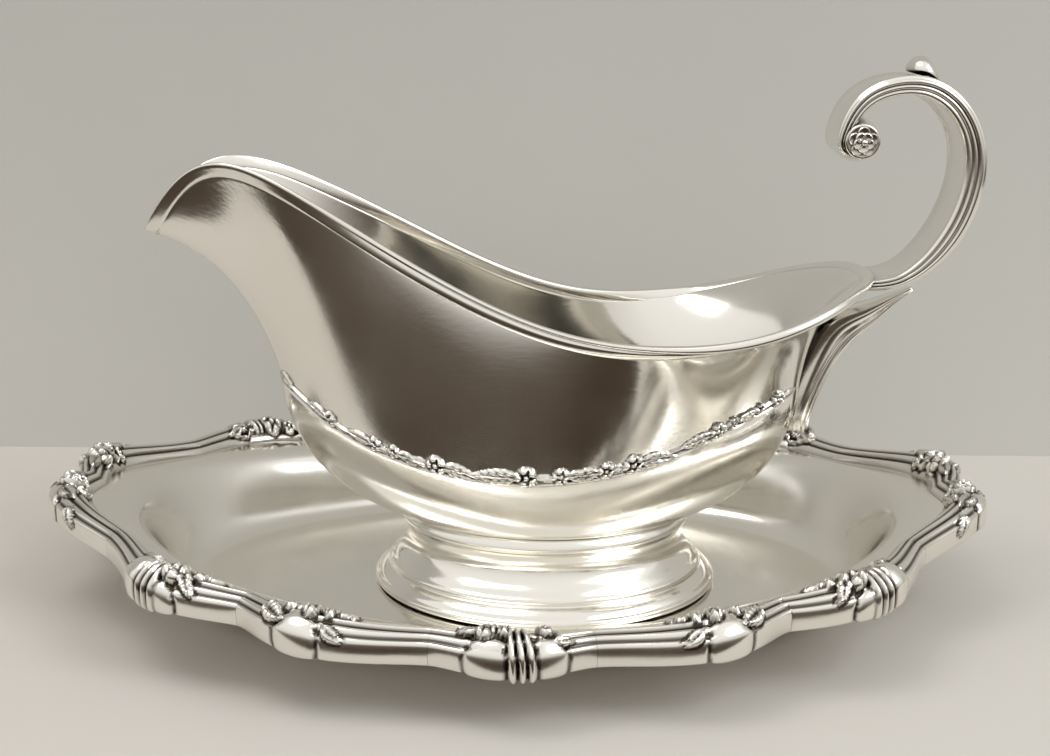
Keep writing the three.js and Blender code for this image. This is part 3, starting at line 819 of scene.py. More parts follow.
CLUSTERS: dict[Cluster, tuple[Form, ...]] = {
    Cluster.END: (
        Bulb(-1.0, 3.2, 5.4, 0.7, tall=7.6), Scroll(-1.6, 10.2, 2.9, 2.1, turn=0.1, hand=-1),
        Rosette(-7.4, 10.4, 2.5, 1.9), Leaf(-9.2, 9.8, 5.4, 1.2, turn=math.pi), Leaf(1.8, 8.4, 6.4, 1.2),
        Leaf(11.0, 6.6, 5.0, 1.1, turn=-0.9, broad=0.3), Beads(-10.0, 12.8, 0.55, 0.7, count=3),
        Rosette(3.4, 11.8, 1.7, 1.4), Leaf(-6.0, 6.8, 4.4, 1.0, turn=-0.4 * math.pi),
    ),
    Cluster.CORNER: (
        Bulb(-6.4, 3.4, 3.2, 0.95, tall=8.6), Flutes(-3.4, 0.0, 1.9, 1.15, top=12.8, lean=1.4),
        Rosette(5.2, 10.0, 3.3, 2.2), Leaf(7.2, 10.6, 6.6, 1.4, turn=-0.36 * math.pi, bow=0.2),
        Rosette(10.6, 11.0, 2.0, 1.5), Leaf(12.2, 11.0, 4.8, 1.0, turn=0.1), Bulb(3.6, 2.4, 3.4, 0.7, tall=4.6),
        Beads(13.4, 13.0, 0.55, 0.7, count=5), Leaf(-8.6, 11.0, 5.0, 1.2, turn=math.pi - 0.3),
        Scroll(-7.4, 11.4, 2.0, 1.5, turn=math.pi),
    ),
    Cluster.SHELL: (
        Leaf(-12.4, 8.4, 6.4, 1.4, turn=-0.35, broad=0.3), Bulb(-2.6, 3.0, 5.0, 0.6, tall=7.6),
        Rosette(-0.4, 10.8, 2.5, 1.9), Rosette(4.6, 11.2, 2.1, 1.6), Leaf(6.2, 10.8, 6.0, 1.2, turn=0.12),
        Leaf(-2.4, 11.4, 5.0, 1.2, turn=math.pi + 0.1), Beads(7.6, 13.0, 0.55, 0.7, count=6),
        Leaf(3.6, 7.0, 5.0, 1.0, turn=-0.5), Scroll(-7.4, 10.8, 1.9, 1.5, turn=math.pi),
    ),
    Cluster.MIDDLE: (
        Bulb(-5.4, 2.6, 4.8, 0.5, tall=6.8), Bulb(8.3, 2.6, 3.6, 0.55, tall=7.0),
        Flutes(-0.7, 0.0, 1.95, 1.0, top=12.6, lean=-1.6), Rosette(-6.9, 10.2, 2.6, 1.9),
        Rosette(-2.6, 10.9, 2.2, 1.7), Leaf(-8.6, 9.6, 5.2, 1.2, turn=math.pi - 0.15),
        Scroll(8.8, 10.4, 2.3, 1.7, turn=0.25, hand=-1), Beads(-12.6, 12.6, 0.6, 0.8),
        Leaf(9.6, 7.6, 4.4, 1.0, turn=-0.2),
    ),
}


@dataclass
class Underplate:
    """Oval pan with a lobed cast border."""

    length: float = 229.0
    width: float = 170.0
    rim_height: float = 16.0
    end_rise: float = 10.0
    pan: float = 1.5
    well_length: float = 158.0
    well_width: float = 98.0
    cove_width: float = 9.0
    cove_rise: float = 6.0
    cove_turn: float = math.radians(62)
    ledge_start: float = 0.86
    border: float = 7.0
    crest: float = 3.4
    drop: float = 4.2
    lip: float = 1.7
    lobe_swell: float = 2.6
    lobe_rise: float = 1.1
    fullness: float = 1.5
    notches: tuple[tuple[float, float], ...] = ((0, 0.99), (29, 0.955), (57, 0.962), (81, 0.985))
    lobe_forms: tuple[tuple[float, float], ...] = ((0.05, 0.4), (0.063, 0.62), (0.06, 0.47), (0.057, 0.5))
    lobe_steps: int = 16
    section_points: int = 52
    outline_points: int = 201
    spacing: float = 0.4
    end_gap: float = 0.03
    body: str = "underplate"

    def __post_init__(self) -> None:
        """Lays out the notches all round and scales the outline to the plate's size."""
        back = tuple((180 - angle, share) for angle, share in self.notches[:0:-1])
        half = self.notches + back
        self.ring = [(angle + turn, share) for turn in (0, 180) for angle, share in half]
        self.lobes = len(self.ring)
        samples = [self._round(lobe, i / 6) for lobe in range(self.lobes) for i in range(6)]
        self.half_length = self.length / 2 / max(point.x for point in samples)
        self.half_width = self.width / 2 / max(point.y for point in samples)

    def _step(self, lobe: int) -> tuple[int, bool]:
        """Gives which of the listed lobes a lobe is like, and whether it is turned round."""
        half = self.lobes // 2
        step = lobe % half
        turned = step >= len(self.notches)
        return half - 1 - step if turned else step, turned

    def _form(self, lobe: int) -> tuple[float, float]:
        """Gives the bulge of a lobe and the place of its peak."""
        step, turned = self._step(lobe)
        bulge, peak = self.lobe_forms[step]
        return bulge, 1 - peak if turned else peak

    def height(self, lobe: int, along: float) -> float:
        """Gives how far up its lobe a place is, 0 at the notches and 1 at the peak."""
        peak = self._form(lobe)[1]
        return max(math.sin(math.pi * along ** (math.log(0.5) / math.log(peak))), 0.0)

    def _round(self, lobe: int, along: float) -> Vector:
        """Gives a point of the outline on an oval of half-lengths 1."""
        start, share = self.ring[lobe % self.lobes]
        end, next_share = self.ring[(lobe + 1) % self.lobes]
        angle = math.radians(start + ((end - start) % 360) * along)
        reach = lerp(share, next_share, along) + self._form(lobe)[0] * self.height(lobe, along) ** self.fullness
        return Vector((reach * math.cos(angle), reach * math.sin(angle), 0))

    def outline(self, lobe: int, along: float) -> Vector:
        """Gives a point of the plate's edge, in millimetres, at z = 0."""
        point = self._round(lobe, along)
        return Vector((point.x * self.half_length, point.y * self.half_width, 0))

    def outward(self, lobe: int, along: float) -> Vector:
        """Gives the direction out of the edge, mitred at the notches."""
        reach = 0.02
        before = self.outline(lobe, max(along - reach, 0))
        tangent = (self.outline(lobe, min(along + reach, 1)) - before).normalized()
        mitre = (abs(along - 0.5) * 2) ** 3
        straight = self.outline(lobe, along).normalized()
        return Vector((tangent.y, -tangent.x, 0)).lerp(straight, mitre).normalized()

    def raised(self, point: Vector, height: float) -> Vector:
        """Gives the point that stands this high over the flange, above or below another one."""
        return Vector((point.x, point.y, self.rim_height + self.edge_lift(point.x) + height))

    def edge_lift(self, x: float) -> float:
        """Gives how much higher the edge stands over a place on the plate's length."""
        return self.end_rise * (2 * x / self.length) ** 2

    def make_pan(self) -> bpy.types.Object:
        """Models the pan from a disc that is extruded into cove, flange and edge."""
        edge = []
        for lobe in range(self.lobes):
            for i in range(self.lobe_steps // 2):
                along = 2 * i / self.lobe_steps
                edge.append(self.raised(self.outline(lobe, along) - self.outward(lobe, along) * (self.lip + SEAM), 0))
        angles = [math.atan2(p.y / self.width, p.x / self.length) for p in edge]

        def oval(half_length: float, half_width: float, height: float) -> Ring:
            """Lays one level oval."""
            return [Vector((half_length * math.cos(a), half_width * math.sin(a), height)) for a in angles]

        well = (self.well_length / 2, self.well_width / 2)
        surface = Surface("plate_pan_spun", oval(well[0] * 0.9, well[1] * 0.85, self.pan))
        surface.close(surface.first)
        surface.extrude(oval(well[0] * 0.975, well[1] * 0.965, self.pan))
        steps = 6
        for i in range(steps + 1):
            turn = i / steps * self.cove_turn
            run = self.cove_width * math.sin(turn) / math.sin(self.cove_turn)
            rise = self.cove_rise * (1 - math.cos(turn)) / (1 - math.cos(self.cove_turn))
            surface.extrude(oval(well[0] + run, well[1] + run, self.pan + rise))
        top = self.pan + self.cove_rise
        start = (well[0] + self.cove_width, well[1] + self.cove_width)
        end = (self.half_length * self.ledge_start, self.half_width * self.ledge_start)
        for out in (0.06, 0.2, 0.4, 0.6, 0.8, 1.0):
            rise = math.sin(out * math.pi / 2)
            ledge = oval(lerp(start[0], end[0], out), lerp(start[1], end[1], out), lerp(top, self.rim_height, rise))
            for point in ledge:
                point.z += rise * self.edge_lift(point.x)
            surface.extrude(ledge)
        surface.extrude([a.lerp(b, 0.4) for a, b in zip(ledge, edge)])
        surface.extrude(edge)
        obj = surface.done()
        apply_modifier(obj, "SOLIDIFY", thickness=self.pan * MM, offset=-1.0)
        refine(obj, 1)
        return dress(obj, WORN, self.body, ["plate_pan"], sharp=50)

    def section(self) -> list[tuple[float, float, float, float, float]]:
        """Lays the border's section from the foot of its skirt over the crest to its inner line.

        Returns:
            Inward run, height over the flange, developed length, and the direction out of the metal.
        """
        line = Spline([(x, 0, z) for x, z in (
            (0.55, -self.drop), (0.05, -self.drop + 0.4), (-0.18, -2.2), (-0.18, -0.4), (0.1, 0.9), (0.9, 1.9),
            (2.0, 2.75), (3.4, 3.1), (4.9, 2.55), (6.1, 1.5), (6.9, 0.35), (7.1, -0.25),
        )])
        points = []
        for k in range(self.section_points):
            share = k / (self.section_points - 1)
            here, run = line.even(share), line.even_tangent(share)
            points.append((here.x, here.z, share * line.lengths[-1], -run.z, run.x))
        return points

    @staticmethod
    def reeds(t: float) -> float:
        """Gives the depth of the lines cut between the reeds, at a developed length over the section."""
        return sum(depth * math.exp(-(((t - place) / REED_GROOVE) ** 2)) for place, depth in REEDS)

    def casting(self, lobe: int) -> bpy.types.Object:
        """Sweeps one casting from notch to notch with its relief raised on it.

        Args:
            lobe: Number of the lobe, from the end in +X.

        Returns:
            The casting as one closed mesh.
        """
        step, turned = self._step(lobe)
        way = -1 if turned else 1
        forms, section = CLUSTERS[tuple(Cluster)[step]], self.section()
        last = self.outline_points - 1
        lengths = running([self.outline(lobe, i / last) for i in range(self.outline_points)])
        middle = lengths[round(self._form(lobe)[1] * last)]
        count = round(lengths[-1] / self.spacing)
        rings, heights = [], []
        for i in range(count + 1):
            aim = lerp(self.end_gap, lengths[-1] - self.end_gap, i / count)
            along = share_at(lengths, aim)
            swell = self.height(lobe, along) ** 2
            wide = 1 + self.lobe_swell * swell / self.border
            high = 1 + self.lobe_rise * swell / self.crest
            edge, out = self.outline(lobe, along), self.outward(lobe, along)
            ring, row = [], []
            for inward, height, t, lean, rise in section:
                raised = relief(forms, (aim - middle) * way, t)
                raised -= self.reeds(t) * max(0.0, 1 - max(raised, 0) / 0.5)
                row.append(raised)
                x = (inward * wide if inward > 0 else inward) + lean * raised
                z = (height * high if height > 0 else height) + rise * raised
                ring.append(self.raised(edge - out * x, z))
            for x, z in ((6.0, -0.3), (2.0, -0.25), (2.0, -self.drop)):
                ring.append(self.raised(edge - out * (x * wide if x > 2 else x), z))
            rings.append(ring)
            heights.append(row)
        return swept(f"casting_{lobe}", rings, hollows=hollows_of(heights, reach=3, gain=5.0))

    def build(self) -> None:
        """Builds the pan and the fourteen castings."""
        self.make_pan()
        for lobe in range(self.lobes):
            node = f"border_casting_{lobe + 1:02d}"
            obj = self.casting(lobe)
            obj.name = obj.data.name = f"{node}_cast"
            dress(obj, CAST, self.body, [node], sharp=60)


# Gravy boat


@dataclass
class BoatForm:
    """Guides of the bowl, measured from the middle of the foot's underside."""

    shift: Vector = field(default_factory=lambda: Vector((7.0, 0.0, 1.8)))
    bow: float = 96.0
    stern: float = 77.0
    width: float = 68.0
    girdle_bow: float = 66.7
    girdle_stern: float = 63.6
    girdle_width: float = 63.0
    rim_low: float = 65.5
    rim_stern: float = 77.6
    rim_peak: float = 102.2
    lip_height: float = 87.0
    girdle_low: float = 35.1
    girdle_bow_height: float = 53.5
    girdle_stern_height: float = 52.3
    foot_length: float = 87.0
    foot_width: float = 75.5
    foot_height: float = 18.7
    neck_length: float = 70.3
    wall: float = 1.2
    body: str = "gravy_boat"

    def __post_init__(self) -> None:
        """Fits the rim and the girdle."""
        stern, bow, low = self.stern, -self.bow, self.rim_low
        drop, climb, lip = self.rim_stern - low, self.rim_peak - low, self.lip_height - low
        self.rim = self._guide(self.width / 2, low, (
            (stern, 1, 0, drop, 1), (stern, 0.956, 0.4, drop, 0.97), (stern, 0.78, 0.85, drop, 0.57),
            (stern, 0.47, 1, drop, 0.04), (stern, 0.05, 0.92, climb, 0.045), (bow, 0.316, 0.77, climb, 0.43),
            (bow, 0.633, 0.46, climb, 0.87), (bow, 0.878, 0.2, climb, 0.975), (bow, 1, 0, lip, 1),
        ))
        stern, bow, low = self.girdle_stern, -self.girdle_bow, self.girdle_low
        back, rise = self.girdle_stern_height - low, self.girdle_bow_height - low
        self.girdle = self._guide(self.girdle_width / 2, low, (
            (stern, 1, 0, back, 1), (stern, 0.928, 0.3, back, 0.913), (stern, 0.707, 0.6, back, 0.616),
            (stern, 0.377, 0.87, back, 0.2), (bow, 0, 1, rise, 0), (bow, 0.36, 0.92, rise, 0.08),
            (bow, 0.69, 0.65, rise, 0.386), (bow, 0.907, 0.3, rise, 0.78), (bow, 1, 0, rise, 1),
        ))
        self.neck_height = self.foot_height + SEAM
        self.oval_inset = (self.foot_length - self.foot_width) / 2

    @staticmethod
    def _guide(half: float, low: float, stations: Sequence[tuple[float, float, float, float, float]]) -> Spline:
        """Lays a closed guide from its half.

        Args:
            half: Half of its width.
            low: Height of its lowest place.
            stations: Length and share of it, share of the half width, rise and share of it.

        Returns:
            The line, with the other side added.
        """
        far = [(length * x, half * y, low + rise * z) for length, x, y, rise, z in stations]
        return Spline([*far, *((x, -y, z) for x, y, z in far[-2:0:-1])], closed=True)

    def point(self, turn: float, level: float) -> Vector:
        """Gives a point of the outer surface in the boat's own frame.

        Args:
            turn: 0 to 1 round the bowl from its stern by +Y.
            level: 0 to 1 over the floor, to 2 at the girdle and to 3 at the rim.

        Returns:
            The point in millimetres.
        """
        angle = turn * 2 * math.pi
        reach = self.neck_length / 2 - 1
        neck = Vector((reach * math.cos(angle), (reach - self.oval_inset) * math.sin(angle), self.neck_height))
        if level <= 1:
            return Vector((neck.x * level, neck.y * level, self.neck_height - 1 + level**2))
        girdle = self.girdle.at(turn)
        if level <= 2:
            control = Vector((girdle.x * 0.97, girdle.y * 0.97, lerp(neck.z, girdle.z, 0.12)))
            return bend(neck, control, girdle, level - 1)
        rim = self.rim.at(turn)
        control = Vector((lerp(girdle.x, rim.x, 0.28), lerp(girdle.y, rim.y, 0.28), lerp(girdle.z, rim.z, 0.82)))
        return bend(girdle, control, rim, level - 2)

    def normal(self, turn: float, level: float) -> Vector:
        """Gives the direction out of the bowl."""
        step = 1e-3
        here = max(level, 0.02)
        around = self.point(turn + step, here) - self.point(turn - step, here)
        up = self.point(turn, min(here + step, 3)) - self.point(turn, here - step)
        return around.cross(up).normalized()

    def placed(self, point: Vector) -> Vector:
        """Moves a point of the boat's own frame to the part's."""
        return point + self.shift


@dataclass
class Bowl:
    """The raised bowl and its rim wire."""

    form: BoatForm
    columns: int = 96
    wire_columns: int = 128
    wire_height: float = 2.6
    wire_width: float = 1.25
    plain_from: float = 22.0
    plain_run: float = 26.0
    fill_lift: float = 4.2

    def make_bowl(self) -> bpy.types.Object:
        """Models the bowl from a floor that is extruded up to its rim, then given its wall."""
        form = self.form
        turns = [i / self.columns for i in range(self.columns)]
        levels = (0.6, 0.94, 1.0, 1.05, 1.16, 1.3, 1.46, 1.62, 1.78, 1.9, 1.97, 2.0, 2.03, 2.1,
                  2.2, 2.32, 2.44, 2.56, 2.68, 2.8, 2.9, 2.97, 3.0)
        rings = [[form.placed(form.point(turn, level)) for turn in turns] for level in levels]
        surface = Surface("bowl_raised", rings[0])
        surface.close(surface.first)
        for ring in rings[1:]:
            surface.extrude(ring)
        obj = surface.done()
        apply_modifier(obj, "SOLIDIFY", thickness=form.wall * MM, offset=-1.0, use_even_offset=True)
        refine(obj, 1)
        return dress(obj, MIRROR, form.body, ["bowl"], sharp=60)

    def make_wire(self) -> bpy.types.Object:
        """Sweeps a reeded wire round the rim."""
        form = self.form
        shape = (
            (-0.62, -0.5), (-0.95, 0.05), (-1.05, 0.35), (-0.82, 0.5), (-0.7, 0.54), (-0.98, 0.64), (-1.0, 0.84),
            (-0.62, 1.0), (-0.1, 1.02), (0.35, 0.95), (0.78, 0.8), (0.86, 0.5), (0.7, 0.1), (0.45, -0.45),
        )
        flush = (
            (-0.53, -0.5), (-0.53, 0.05), (-0.53, 0.35), (-0.53, 0.5), (-0.53, 0.55), (-0.52, 0.66), (-0.5, 0.82),
            (-0.36, 0.97), (-0.05, 1.02), (0.24, 0.97), (0.44, 0.84), (0.5, 0.5), (0.5, 0.1), (0.48, -0.45),
        )
        rings = []
        for i in range(self.wire_columns):
            turn = i / self.wire_columns
            edge = form.point(turn, 3)
            out = form.normal(turn, 3)
            around = form.point(turn + 1e-3, 3) - form.point(turn - 1e-3, 3)
            up = out.cross(around).normalized()
            plain = min(max((-edge.x - self.plain_from) / self.plain_run, 0.0), 1.0)
            ring = []
            for (side, height), (plain_side, plain_height) in zip(shape, flush):
                rise = SEAM + lerp(height, plain_height, plain) * self.wire_height
                away = -form.wall / 2 - lerp(side, plain_side, plain) * self.wire_width
                ring.append(form.placed(edge + up * rise + out * away))
            rings.append(ring)
        obj = swept("rim_wire_reeded", rings, looped=True)
        refine(obj, 1)
        return dress(obj, REEDED, form.body, ["rim_wire"], sharp=60)

    def cutter(self, grow: float = 0.05) -> bpy.types.Object:
        """Models the bowl filled up, to shape what is soldered on to it."""
        form = self.form
        turns = [i / self.columns for i in range(self.columns)]
        rings = []
        for level in (0.6, 1.0, 1.3, 1.6, 1.85, 2.0, 2.15, 2.4, 2.7, 2.9, 3.0):
            rings.append([
                form.placed(form.point(turn, level) + form.normal(turn, level) * grow) for turn in turns
            ])
        rings.append([point + Vector((0, 0, self.fill_lift)) for point in rings[-1]])
        return swept("bowl_filled", rings)

    def build(self) -> None:
        """Builds the bowl and its wire."""
        self.make_bowl()
        self.make_wire()


@dataclass
class Foot:
    """Oval pedestal of parallel mouldings, hollow underneath."""

    form: BoatForm
    columns: int = 96
    wall: float = 1.3

    def __post_init__(self) -> None:
        """Lays the profile: share of the way from neck to base, millimetres further in, and share of the height."""
        outside = (
            (1, 0.6, 0.0), (1, 0.1, 0.02), (1, 0, 0.05), (1, 0.05, 0.08), (1, 0.5, 0.105), (1, 0.9, 0.11),
            (0.84, 0, 0.16), (0.62, 0, 0.222), (0.55, 0, 0.235), (0.54, 0, 0.25), (0.56, 0, 0.27), (0.53, 0, 0.31),
            (0.47, 0, 0.33), (0.43, 0, 0.345), (0.34, 0, 0.4), (0.2, 0, 0.45), (0.06, 0, 0.52), (-0.02, 0, 0.6),
            (-0.05, 0, 0.7), (-0.02, 0, 0.8), (0.02, 0, 0.845), (0.1, 0, 0.865), (0.13, 0, 0.9), (0.1, 0, 0.95),
            (0.04, 0, 0.985), (0, 0.3, 1.035),
        )
        inside = ((0, 0, 1.03), (-0.06, 0, 0.68), (0, 0, 0.52), (0.4, 0, 0.26), (1, 1.4, 0.04), (1, 0.6, 0.0))
        self.profile = (*outside, *((share, inset + self.wall, height) for share, inset, height in inside))

    def build(self) -> bpy.types.Object:
        """Models the foot from its base ring, extruded up its profile."""
        form = self.form
        base, neck = form.foot_length / 2, form.neck_length / 2
        rings = []
        for share, inset, height in self.profile:
            reach = lerp(neck, base, share) - inset
            rings.append([
                form.placed(Vector((reach * x, (reach - form.oval_inset) * y, height * form.foot_height)))
                for x, y in circle(self.columns)
            ])
        obj = swept("foot_spun", rings, looped=True)
        refine(obj, 1)
        return dress(obj, MIRROR, form.body, ["foot"], sharp=60)


@dataclass
class Girdle:
    """Applied ornament along the crease of the bowl."""

    form: BoatForm
    low: float = -1.7
    high: float = 3.9
    rows: int = 21
    spacing: float = 0.42
    stern_gap: float = 6.9
    bow_gap: float = 2.4
    sink: float = 0.16
    back: float = 0.6
    taper_run: float = 6.0
    sprays: tuple[tuple[float, float, int], ...] = (
        (55.5, 2.0, 0), (51.0, 1.5, 1), (44.0, 1.6, -1), (40.2, 2.2, 1), (20.2, 2.6, -1), (13.8, 2.1, 1),
        (3.4, 2.1, -1), (-4.6, 2.7, 1), (-25.7, 2.5, -1), (-36.0, 1.7, -1), (-40.4, 1.9, 1), (-51.7, 1.9, 1),
    )

    def _turn_at(self, gap: float, start: float, way: int) -> float:
        """Gives the turn at which the girdle is this far from the middle plane."""
        turn = 0.0
        while self.form.girdle.at(start + way * turn).y < gap:
            turn += 0.0005
        return start + way * turn

    def __post_init__(self) -> None:
        """Finds both ends of the casting and the lengths along it."""
        self.ends = (self._turn_at(self.stern_gap, 0.0, 1), self._turn_at(self.bow_gap, 0.5, -1))
        self.line = [self.form.point(lerp(*self.ends, i / 400), 2) for i in range(401)]
        self.lengths = running(self.line)

    def reach(self, x: float) -> float:
        """Gives the length from the stern's end to a place on the boat's length."""
        return self.lengths[min(range(len(self.line)), key=lambda i: abs(self.line[i].x - x))]

    def forms(self) -> list[Form]:
        """Lays out the sprays: each a flower with a long leaf to one side and small ones round it."""
        made: list[Form] = []
        for x, size, way in self.sprays:
            s = self.reach(x)
            lean = 0.0 if way >= 0 else math.pi
            made.append(Rosette(s, 0.85, size, 0.55 + 0.5 * size))
            made.append(Beads(s - 1.4, -0.85, 0.42, 0.6, count=4))
            made.append(Leaf(s - 0.6 * size * (way or 1), 0.3, 2.2 * size, 0.8, turn=math.pi - lean))
            if way:
                made.append(Leaf(s + 0.7 * size * way, 1.0, 3.9 * size, 1.1, turn=lean - 0.14 * way, broad=0.2))
                made.append(Scroll(s + 1.75 * size * way, 0.1, 0.5 * size, 0.8, turn=lean, hand=-way))
        made.append(Leaf(self.lengths[-1] - 7.5, 0.3, 7.2, 0.9, turn=0.22))
        made.append(Leaf(4.6, 0.3, 4.4, 0.8, turn=math.pi - 0.2))
        return made

    @staticmethod
    def lines(t: float) -> float:
        """Gives the height of the double line that the sprays stand on."""
        ridges = (0.85 * hump(t, -1.05, 0.8), 0.9 * hump(t, 0.5, 0.8))
        return max(*ridges, 0.22 if -1.05 < t < 0.5 else 0.0)

    def casting(self, side: int) -> bpy.types.Object:
        """Sweeps the casting of one side, laid on the bowl.

        Args:
            side: 1 for the far side and -1 for the near side.

        Returns:
            The casting as one closed mesh.
        """
        form, forms, total = self.form, self.forms(), self.lengths[-1]
        rings, heights = [], []
        count = round(total / self.spacing)
        for i in range(count + 1):
            s = total * i / count
            half = lerp(*self.ends, share_at(self.lengths, s))
            turn = half if side > 0 else 1 - half
            out = (form.normal(turn, 2.04) + form.normal(turn, 1.96)).normalized()
            middle = form.point(turn, 2)
            climb = (form.point(turn, 2.02) - middle).length / 0.02
            fall = (form.point(turn, 1.98) - middle).length / 0.02
            taper = min(1.0, 0.3 + s / self.taper_run, 0.3 + (total - s) / self.taper_run)
            ring, row = [], []
            for k in range(self.rows):
                t = lerp(self.low, self.high, k / (self.rows - 1))
                height = max(relief(forms, s, t), self.lines(t)) * taper
                row.append(height)
                base = form.point(turn, 2 + t * taper / (climb if t > 0 else fall))
                ring.append(form.placed(base + out * (height - self.sink)))
            for t in (self.high, 1.0, self.low):
                base = form.point(turn, 2 + t * taper / (climb if t > 0 else fall))
                ring.append(form.placed(base - out * self.back))
            rings.append(ring)
            heights.append(row)
        return swept("girdle", rings, hollows=hollows_of(heights, gain=3.0))

    def build(self) -> None:
        """Builds the casting of each side."""
        for side, name in ((-1, "girdle_casting_near"), (1, "girdle_casting_far")):
            obj = self.casting(side)
            obj.name = obj.data.name = f"{name}_cast"
            dress(obj, CAST, self.form.body, [name], sharp=60)


@dataclass
class Handle:
    """C-scroll strap, its rolled end, its thumb leaf and the lower leaf on the stern."""

    form: BoatForm
    reach: float = 101.0
    top: float = 124.5
    width: float = 18.0
    thickness: float = 5.2
    scroll_radius: float = 5.8
    scroll_width: float = 20.0
    rosette: float = 3.4
    tail_width: float = 12.0
    tail_point: float = 13.5
    tail_inset: float = 11.0
    tail_drop: float = 36.5
    leaf_start: float = 0.635
    leaf_length: float = 7.4
    leaf_width: float = 10.0
    leaf_rise: float = 2.8
    leaf_steps: int = 20
    band: tuple[float, float] = (0.33, 0.6)
    band_beads: int = 15
    roll_columns: int = 36
    tail_steps: int = 40
    steps: int = 72

    def __post_init__(self) -> None:
        """Fits the middle line of the strap."""
        rise, run = self.top - self.form.rim_stern, self.reach - self.form.stern
        self.centre = Vector((self.form.stern - run * 0.15, 0, self.top - rise * 0.27))
        shares = ((-0.06, 0), (0.308, 0.021), (0.617, 0.13), (0.846, 0.296), (0.971, 0.49), (0.979, 0.684),
                  (0.833, 0.865), (0.542, 0.985), (0.183, 1.002), (-0.162, 0.916))
        stations = [(self.form.stern + run * x, 0, self.form.rim_stern + rise * z) for x, z in shares]
        for degrees, reach in ((172, 0.76), (216, 0.74), (262, 0.68)):
            angle = math.radians(degrees)
            curl = self.centre + Vector((math.cos(angle), 0, math.sin(angle))) * (self.scroll_radius * reach)
            stations.append(tuple(curl))
        self.line = Spline(stations)
        parts = (0.5, 0.68, 0.98, 1.06, 1.04, 0.98, 0.92, 0.84, 0.66, 0.24)
        self.depth = Spline([(i, 0, self.thickness * part) for i, part in enumerate(parts)])

    def across(self, share: float, shape: Section) -> Ring:
        """Lays points given as across and out on the strap's middle line."""
        middle = self.line.even(share)
        tangent = self.line.even_tangent(share)
        out = Vector((tangent.z, 0, -tangent.x))
        return [self.form.placed(middle + out * rise + Vector((0, side, 0))) for side, rise in shape]

    def strap_shape(self, share: float) -> Section:
        """Gives the strap's section: crowned outside, hollowed inside, three reeds on each edge."""
        half = self.width / 2 * (1 + 0.12 * max(0.0, 1 - share / 0.12))
        thick = self.depth.at(share).z
        edge = (
            (-2.9, 0.42), (-2.3, 0.5), (-1.5, 0.52), (-0.95, 0.47), (-0.7, 0.37), (-0.5, 0.33), (-0.12, 0.28),
            (0.0, 0.19), (-0.15, 0.11), (-0.6, 0.07), (-0.15, 0.03), (0.0, -0.06), (-0.12, -0.15),
            (-0.55, -0.19), (-0.12, -0.24), (-0.05, -0.35), (-0.35, -0.47), (-1.2, -0.52), (-1.9, -0.44),
            (-2.4, -0.36),
        )
        side = [(half * 0.4, thick * 0.455), *((half + x, z * thick) for x, z in edge), (half * 0.35, -thick * 0.3)]
        return [(0, thick * 0.47), *mirrored(side, [(0, -thick * 0.28)])]

    def _roll(self) -> bpy.types.Object:
        """Sweeps the rolled end, thinner towards its two faces."""
        half = self.scroll_width / 2
        side = ((1, 0.3), (0.985, 0.56), (1.0, 0.62), (0.99, 0.7), (0.95, 0.73), (0.9, 0.7), (0.82, 0.74),
                (0.6, 0.84), (0.3, 0.92))
        rings = []
        for y, share in mirrored([(-half * y, share) for y, share in side], [(0, 0.95)]):
            radius = self.scroll_radius * share
            rings.append([
                self.form.placed(self.centre + Vector((radius * x, y, radius * z)))
                for x, z in circle(self.roll_columns)
            ])
        roll = swept("roll", rings)
        refine(roll, 1)
        return roll

    def _band(self, ornaments: Ornaments) -> list[bpy.types.Object]:
        """Sets a row of beads between small leaves along the outside of the strap."""
        parts = []
        middle = (self.band_beads - 1) / 2
        for k in range(self.band_beads):
            share = lerp(*self.band, k / (self.band_beads - 1))
            here = self.across(share, [(0, self.thickness * 0.47)])[0]
            tangent = self.line.even_tangent(share)
            out = Vector((tangent.z, 0, -tangent.x))
            size = lerp(0.95, 0.55, abs(k - middle) / middle)
            parts.append(copied(ornaments.made["bead"], on_axes(here, tangent, out, size)))
            for side in (-1, 1):
                spot = here + Vector((0, side * 0.8, 0))
                place = on_axes(spot, -tangent, out, size * 0.95, side * 0.8)
                parts.append(copied(ornaments.made["leaf"], place))
        return parts

    def make_strap(self, cutter: bpy.types.Object, ornaments: Ornaments) -> bpy.types.Object:
        """Sweeps the strap and adds its rolled end and its band."""
        rings = [self.across(i / self.steps, self.strap_shape(i / self.steps)) for i in range(self.steps + 1)]
        strap = swept("strap", rings)
        refine(strap, 1)
        apply_modifier(strap, "BOOLEAN", operation="DIFFERENCE", object=cutter, solver="EXACT")
        parts = [strap, self._roll(), *self._band(ornaments)]
        return dress(join("handle_strap_reeded", parts), REEDED, self.form.body, ["handle_strap"], sharp=42)

    def make_rosettes(self, ornaments: Ornaments) -> None:
        """Sets a flower on each end of the roll."""
        for side, name in ((-1, "scroll_rosette_near"), (1, "scroll_rosette_far")):
            spot = self.form.placed(self.centre + Vector((0, side * (self.scroll_width / 2 + 0.05), 0)))
            place = on_axes(spot, Vector((1, 0, 0)), Vector((0, side, 0)), self.rosette, 0.3)
            flower = copied(ornaments.made["flower"], place)
            dress(join(f"{name}_cast", [flower]), CAST, self.form.body, [name], sharp=42)

